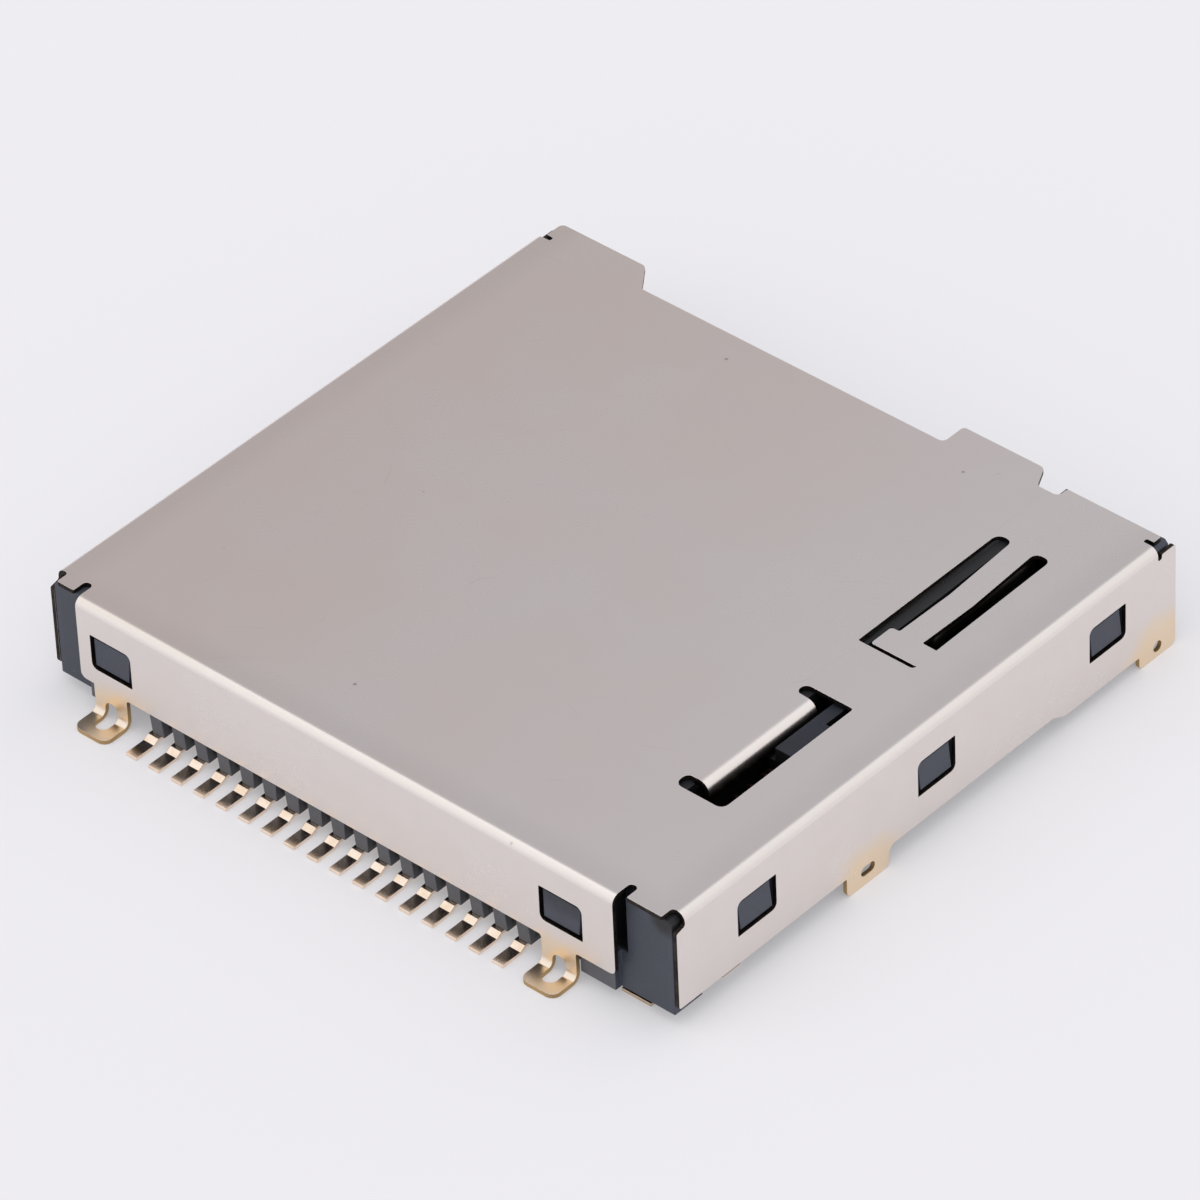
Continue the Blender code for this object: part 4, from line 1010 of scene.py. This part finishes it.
@dataclass
class Base:
    """The moulded plastic base, with the teeth of its comb in a paler copy of its plastic that paints
    on the light they catch.
    """

    shelf: EffectShelf
    rounding: float = 0.04
    tooth_tip: float = 0.45
    tooth_width: float = 0.8
    tooth_reach: float = 0.03
    tooth_shift: float = 0.2
    tolerance: float = 0.02
    # Ovals of painted shade: around the latch's slot, under the leaf's slot and in the rear right
    # corner.
    latch_slot_shade: tuple[Triple, Triple] = ((13.9, -5.95, 6.4), (5.2, 24.0, 3.4))
    leaf_slot_shade: tuple[Triple, Triple] = ((14.1, 14.0, 6.4), (3.0, 10.5, 2.5))
    corner_shade: tuple[Triple, Triple] = ((19.5, -17.4, 6.2), (1.2, 1.5, 1.2))

    def build(self) -> list[bpy.types.Object]:
        """Build the base.

        Returns:
            Its piece.
        """
        mesh = merged_copy("base")
        join_flats(mesh)
        self.shape_teeth(mesh)
        base = link_piece(mesh, "moulded_base", Body.CONNECTOR, Slot.BASE, "base")
        soften(base, self.rounding)
        body = MouldedPlastic(
            "slate_plastic", (0.04, 0.045, 0.065), rough=0.5, metallic=0.0, relief=SPARKED_SKIN,
            pale=(0.088, 0.098, 0.128), edge_width=0.05, mottle=0.25, box=box_mm("base"),
            ovals=(self.latch_slot_shade, self.leaf_slot_shade, self.corner_shade))
        # The teeth take a paler copy of the plastic: painted light.
        teeth = MouldedPlastic(
            "tooth_plastic_painted_light", (0.085, 0.088, 0.1), rough=0.5, metallic=0.0, relief=SPARKED_SKIN,
            pale=(0.15, 0.155, 0.175), edge_width=0.05, mottle=0.25, box=box_mm("base"))
        dress(base, body.make(self.shelf), teeth.make(self.shelf))
        return [base]

    def shape_teeth(self, mesh: bmesh.types.BMesh) -> None:
        """Move the comb's teeth to the right and their tips down, and give them the second finish, the
        paler copy with painted light.

        The left root of each tooth stays where it is, so that the tooth widens towards it.

        Args:
            mesh: The base, in metres.
        """
        near = self.tolerance * MM
        tips = [vert for vert in mesh.verts if abs(vert.co.z - self.tooth_tip * MM) < near]
        sides = {round(tip.co.x / near) for tip in tips}
        moved = list(tips)
        for tip in tips:
            if round((tip.co.x - self.tooth_width * MM) / near) in sides:
                others = [edge.other_vert(tip) for edge in tip.link_edges]
                moved += [root for root in others if root.co.z > tip.co.z + near]
        for face in {face for tip in tips for face in tip.link_faces}:
            face.material_index = 1
        bmesh.ops.translate(mesh, verts=moved, vec=(self.tooth_shift * MM, 0, 0))
        bmesh.ops.translate(mesh, verts=tips, vec=(0, 0, -self.tooth_reach * MM))


@dataclass
class Latch:
    """Moving parts of the push-push latch: slider, staple pin and return spring."""

    shelf: EffectShelf
    slider_rounding: float = 0.05
    ledge_shade: tuple[Triple, Triple] = ((15.0, -5.4, 5.35), (1.6, 1.0, 0.75))
    pin_tip_rise: float = 0.65
    pin_bend: float = 0.5
    pin_sides: int = 20
    pin_rounding: float = 0.12
    spring_wire: float = 0.28
    spring_turns: int = 13
    spring_closed: float = 1.5
    spring_closed_pitch: float = 0.3
    spring_sides: int = 10
    turn_steps: int = 24

    def build(self) -> list[bpy.types.Object]:
        """Build the latch.

        Returns:
            Its pieces.
        """
        # Pin and spring wire are painted dark as shade for where they sit inside the body.
        steel = DrawnWire(
            "wire_steel_painted_shade", (0.07, 0.063, 0.055), rough=0.4, metallic=1.0, relief=DRAWN_STEEL,
            film=(0.03, 0.026, 0.022))
        shaded_spring_wire = DrawnWire(
            "spring_steel_painted_shade", (0.07, 0.05, 0.038), rough=0.4, metallic=1.0, relief=DRAWN_STEEL,
            film=(0.05, 0.035, 0.025))
        return [self.slider(), self.pin(steel.make(self.shelf)), self.spring(shaded_spring_wire.make(self.shelf))]

    def slider(self) -> bpy.types.Object:
        """Build the slider, which keeps its solid's shape.

        Returns:
            The piece.
        """
        mesh = merged_copy("slider")
        join_flats(mesh)
        slider = link_piece(mesh, "latch_slider", Body.SLIDER, Slot.SLIDER, "slider")
        soften(slider, self.slider_rounding)
        # Painted shade: the slider's plastic is much darker than the base's, with more painted shade on
        # faces that don't look up and around the ledge.
        plastic = MouldedPlastic(
            "slider_plastic_painted_shade", (0.006, 0.008, 0.0155), rough=0.55, metallic=0.0,
            relief=Relief(0.07, EVEN, 0.004), pale=(0.02, 0.025, 0.043), edge_width=0.06, mottle=0.35,
            box=box_mm("slider"), shaded_sides=0.95, ovals=(self.ledge_shade,))
        dress(slider, plastic.make(self.shelf))
        return slider

    def pin(self, wire: bpy.types.Material) -> bpy.types.Object:
        """Bend the staple pin inside the room of its solid.

        Args:
            wire: Finish of the wire.

        Returns:
            The piece.
        """
        low, high = box_mm("cam_pin")
        size = high.x - low.x
        front, rear, top = high.y - size / 2, low.y + size / 2, high.z - size / 2
        bar = DrawnSection.wire(size, self.pin_sides, ((low.x + high.x) / 2, front, low.z), pi / 2)
        corners = [(front, top, self.pin_bend), (rear, top, self.pin_bend)]
        bar.follow(corners, (rear, low.z + self.pin_tip_rise))
        pin = link_piece(close_bar(bar.mesh), "staple_pin", Body.CAM_PIN, Slot.PIN, "cam_pin")
        soften(pin, self.pin_rounding, segments=3)
        dress(pin, wire)
        return pin

    def coil(self, middle: Vector, radius: float, start: float, end: float) -> bmesh.types.BMesh:
        """Wind the spring's wire along Y, with closed turns at both ends.

        Args:
            middle: A point on the coil's axis, at Y 0.
            radius: Radius of the wire's middle line.
            start: Y of the wire's first end.
            end: Y of its last end.

        Returns:
            The coil, in metres.
        """
        closed = (self.spring_closed, self.spring_closed_pitch)
        open_turns = self.spring_turns - 2 * self.spring_closed
        open_pitch = (end - start - 2 * self.spring_closed * self.spring_closed_pitch) / open_turns
        mesh = bmesh.new()
        bmesh.ops.create_circle(
            mesh, cap_ends=True, radius=self.spring_wire / 2, segments=self.spring_sides)
        bmesh.ops.translate(mesh, verts=mesh.verts, vec=middle + Vector((radius, start, 0)))
        mesh.faces.ensure_lookup_table()
        tip = mesh.faces[0]
        for turns, pitch in (closed, (open_turns, open_pitch), closed):
            grown = bmesh.ops.spin(
                mesh, geom=[tip], cent=middle, axis=(0, 1, 0), dvec=(0, pitch / self.turn_steps, 0),
                angle=-turns * tau, steps=round(turns * self.turn_steps), use_merge=False,
                use_duplicate=False)["geom_last"]
            tip = end_face(grown)
        return close_bar(mesh)

    def spring(self, wire: bpy.types.Material) -> bpy.types.Object:
        """Build the return spring, which shortens as the slider goes in.

        Args:
            wire: Finish of the wire.

        Returns:
            The piece.
        """
        low, high = box_mm("coil_spring")
        half = self.spring_wire / 2
        middle = Vector(((low.x + high.x) / 2, 0, (low.z + high.z) / 2))
        mesh = self.coil(middle, (high.x - low.x) / 2 - half, low.y + half, high.y - half)
        spring = link_piece(mesh, "return_spring", Body.CONNECTOR, Slot.SPRING, "coil_spring")
        dress(spring, wire)
        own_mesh(spring)
        return spring


@dataclass
class ContactRow:
    """The row of spring contacts, each a bent strip that follows its solid.

    The rise lists a strip's corners: distance from the end of its foot, height, and bend radius.
    """

    shelf: EffectShelf
    strip: float = 0.2
    rounding: float = 0.035
    rise: tuple[tuple[float, float, float], ...] = (
        (1.25, 0.1, 0.22), (1.65, 0.31, 0.22), (3.3, 0.31, 0.25), (3.65, 1.4, 0.25), (4.5, 1.4, 0.6),
        (9.55, 2.75, 0.7), (10.05, 2.9, 0.8), (10.55, 2.75, 0.7))
    end: tuple[float, float] = (11.05, 2.1)

    def build(self) -> list[bpy.types.Object]:
        """Build the contacts from left to right.

        Returns:
            Their pieces.
        """
        gold = GoldStrip(
            "gold_strip", (0.95, 0.8, 0.68), rough=0.2, metallic=1.0, relief=ROLLED_STRIP,
            brown=(0.75, 0.5, 0.28)).make(self.shelf)
        pieces = []
        for node in sorted(name for name in frame["nodes"] if name.startswith("contact_")):
            low, high = box_mm(node)
            start = ((low.x + high.x) / 2, low.y, self.strip / 2)
            bar = DrawnSection.strip(high.x - low.x, self.strip, start, turn=0.0)
            corners = [(low.y + y, z, radius) for y, z, radius in self.rise]
            bar.follow(corners, (low.y + self.end[0], self.end[1]))
            name = node.replace("contact", "contact_strip")
            piece = link_piece(close_bar(bar.mesh), name, Body.CONNECTOR, Slot.CONTACT, node)
            soften(piece, self.rounding)
            dress(piece, gold)
            pieces.append(piece)
        return pieces


@dataclass
class CardSwitch:
    """The two strips of the card-detect switch."""

    shelf: EffectShelf
    rounding: float = 0.035

    def build(self) -> list[bpy.types.Object]:
        """Build the switch.

        Returns:
            Its pieces.
        """
        gold = GoldStrip(
            "switch_gold", (0.7, 0.56, 0.42), rough=0.22, metallic=1.0, relief=ROLLED_STRIP,
            brown=(0.4, 0.28, 0.18)).make(self.shelf)
        pieces = []
        for node, name in (("switch_blade", "moving_blade"), ("switch_fixed", "fixed_blade")):
            mesh = merged_copy(node)
            join_flats(mesh)
            piece = link_piece(mesh, name, Body.CONNECTOR, Slot.SWITCH, node)
            soften(piece, self.rounding)
            dress(piece, gold)
            pieces.append(piece)
        return pieces


@dataclass(frozen=True)
class Glow:
    """One broad soft light of the studio.

    It stands at an azimuth and elevation as seen from the object, is full bright within its core and
    fades out at its reach, all in degrees.
    """

    azimuth: float
    elevation: float
    core: float
    reach: float
    radiance: float


@dataclass
class Studio:
    """Pale floor, soft light and the camera at the photograph's angle. Lengths are in millimetres."""

    azimuth: float = 43.36
    elevation: float = 39.02
    roll: float = -2.6625
    aim: Triple = (1.887, -2.711, 6.7)
    distance: float = 442.285
    lens: float = 274.907
    floor_size: float = 6000.0
    floor_colour: Colour = (0.55, 0.545, 0.57)
    floor_rough: float = 0.9
    floor_gloss: float = 0.1
    floor_glow: Colour = (0.296, 0.292, 0.297)
    surround: Colour = (0.54, 0.528, 0.557)
    glows: tuple[Glow, ...] = (
        Glow(142.0, 34.0, 26.0, 52.0, 0.92),
        Glow(-35.0, 22.0, 15.0, 42.0, 1.0),
        Glow(-62.0, 50.0, 12.0, 32.0, 1.05),
        Glow(43.0, 45.0, 20.0, 50.0, 1.1),
        Glow(0.0, 89.0, 12.0, 28.0, 1.95))

    @staticmethod
    def towards(azimuth: float, elevation: float) -> Vector:
        """Direction from the object to something at an azimuth and elevation in degrees."""
        turn, rise = radians(azimuth), radians(elevation)
        return Vector((sin(turn) * cos(rise), -cos(turn) * cos(rise), sin(rise)))

    def build(self) -> None:
        """Set up the studio."""
        bpy.context.scene.view_settings.view_transform = "Standard"
        self.camera()
        self.floor()
        self.world()

    def camera(self) -> None:
        """Stand the camera where the photograph was taken from."""
        data = bpy.data.cameras.new("camera")
        data.lens = self.lens
        camera = bpy.data.objects.new("camera", data)
        back = self.towards(self.azimuth, self.elevation)
        camera.location = (Vector(self.aim) + back * self.distance) * MM
        camera.rotation_mode = "QUATERNION"
        level = (-back).to_track_quat("-Z", "Y")
        camera.rotation_quaternion = level @ Quaternion((0, 0, 1), radians(self.roll))
        bpy.context.scene.collection.objects.link(camera)
        bpy.context.scene.camera = camera

    def floor(self) -> None:
        """Lay a plain pale floor on the board plane."""
        mesh = bmesh.new()
        bmesh.ops.create_grid(mesh, x_segments=1, y_segments=1, size=self.floor_size / 2 * MM)
        data = bpy.data.meshes.new("floor")
        mesh.to_mesh(data)
        mesh.free()
        floor = bpy.data.objects.new("floor", data)
        bpy.context.scene.collection.objects.link(floor)
        material = bpy.data.materials.new("pale_card")
        material.use_nodes = True
        net = Net(material.node_tree)
        shader = net.add("ShaderNodeBsdfPrincipled", {
            "Base Color": opaque(self.floor_colour), "Roughness": self.floor_rough,
            "Specular IOR Level": self.floor_gloss, "Emission Color": opaque(self.floor_glow),
            "Emission Strength": 1.0})
        net.add("ShaderNodeOutputMaterial", {"Surface": shader.outputs["BSDF"]})
        data.materials.append(material)

    def world(self) -> None:
        """Surround the object with even soft light and the brighter glows."""
        world = bpy.data.worlds.new("studio")
        bpy.context.scene.world = world
        world.use_nodes = True
        net = Net(world.node_tree)
        way = net.add("ShaderNodeTexCoord").outputs["Generated"]
        colour = self.surround
        for glow in self.glows:
            facing = net.measure("DOT_PRODUCT", way, tuple(self.towards(glow.azimuth, glow.elevation)))
            share = net.ramp(facing, cos(radians(glow.reach)), cos(radians(glow.core)))
            colour = net.mix(share, colour, (glow.radiance,) * 3)
        light = net.add("ShaderNodeBackground", {"Color": colour, "Strength": 1.0})
        net.add("ShaderNodeOutputWorld", {"Surface": light.outputs["Background"]})


def main() -> None:
    """Build the studio and every sub-assembly in order."""
    logging.basicConfig(level=logging.INFO, format="%(name)s: %(message)s")
    Studio().build()
    shelf = EffectShelf()
    shelf.build()
    for assembly in (Shell(shelf), Base(shelf), Latch(shelf), ContactRow(shelf), CardSwitch(shelf)):
        for piece in assembly.build():
            faces = len(piece.data.polygons)
            log.info("%s: %s with %d faces", type(assembly).__name__, piece.name, faces)


if __name__ == "__main__":
    main()
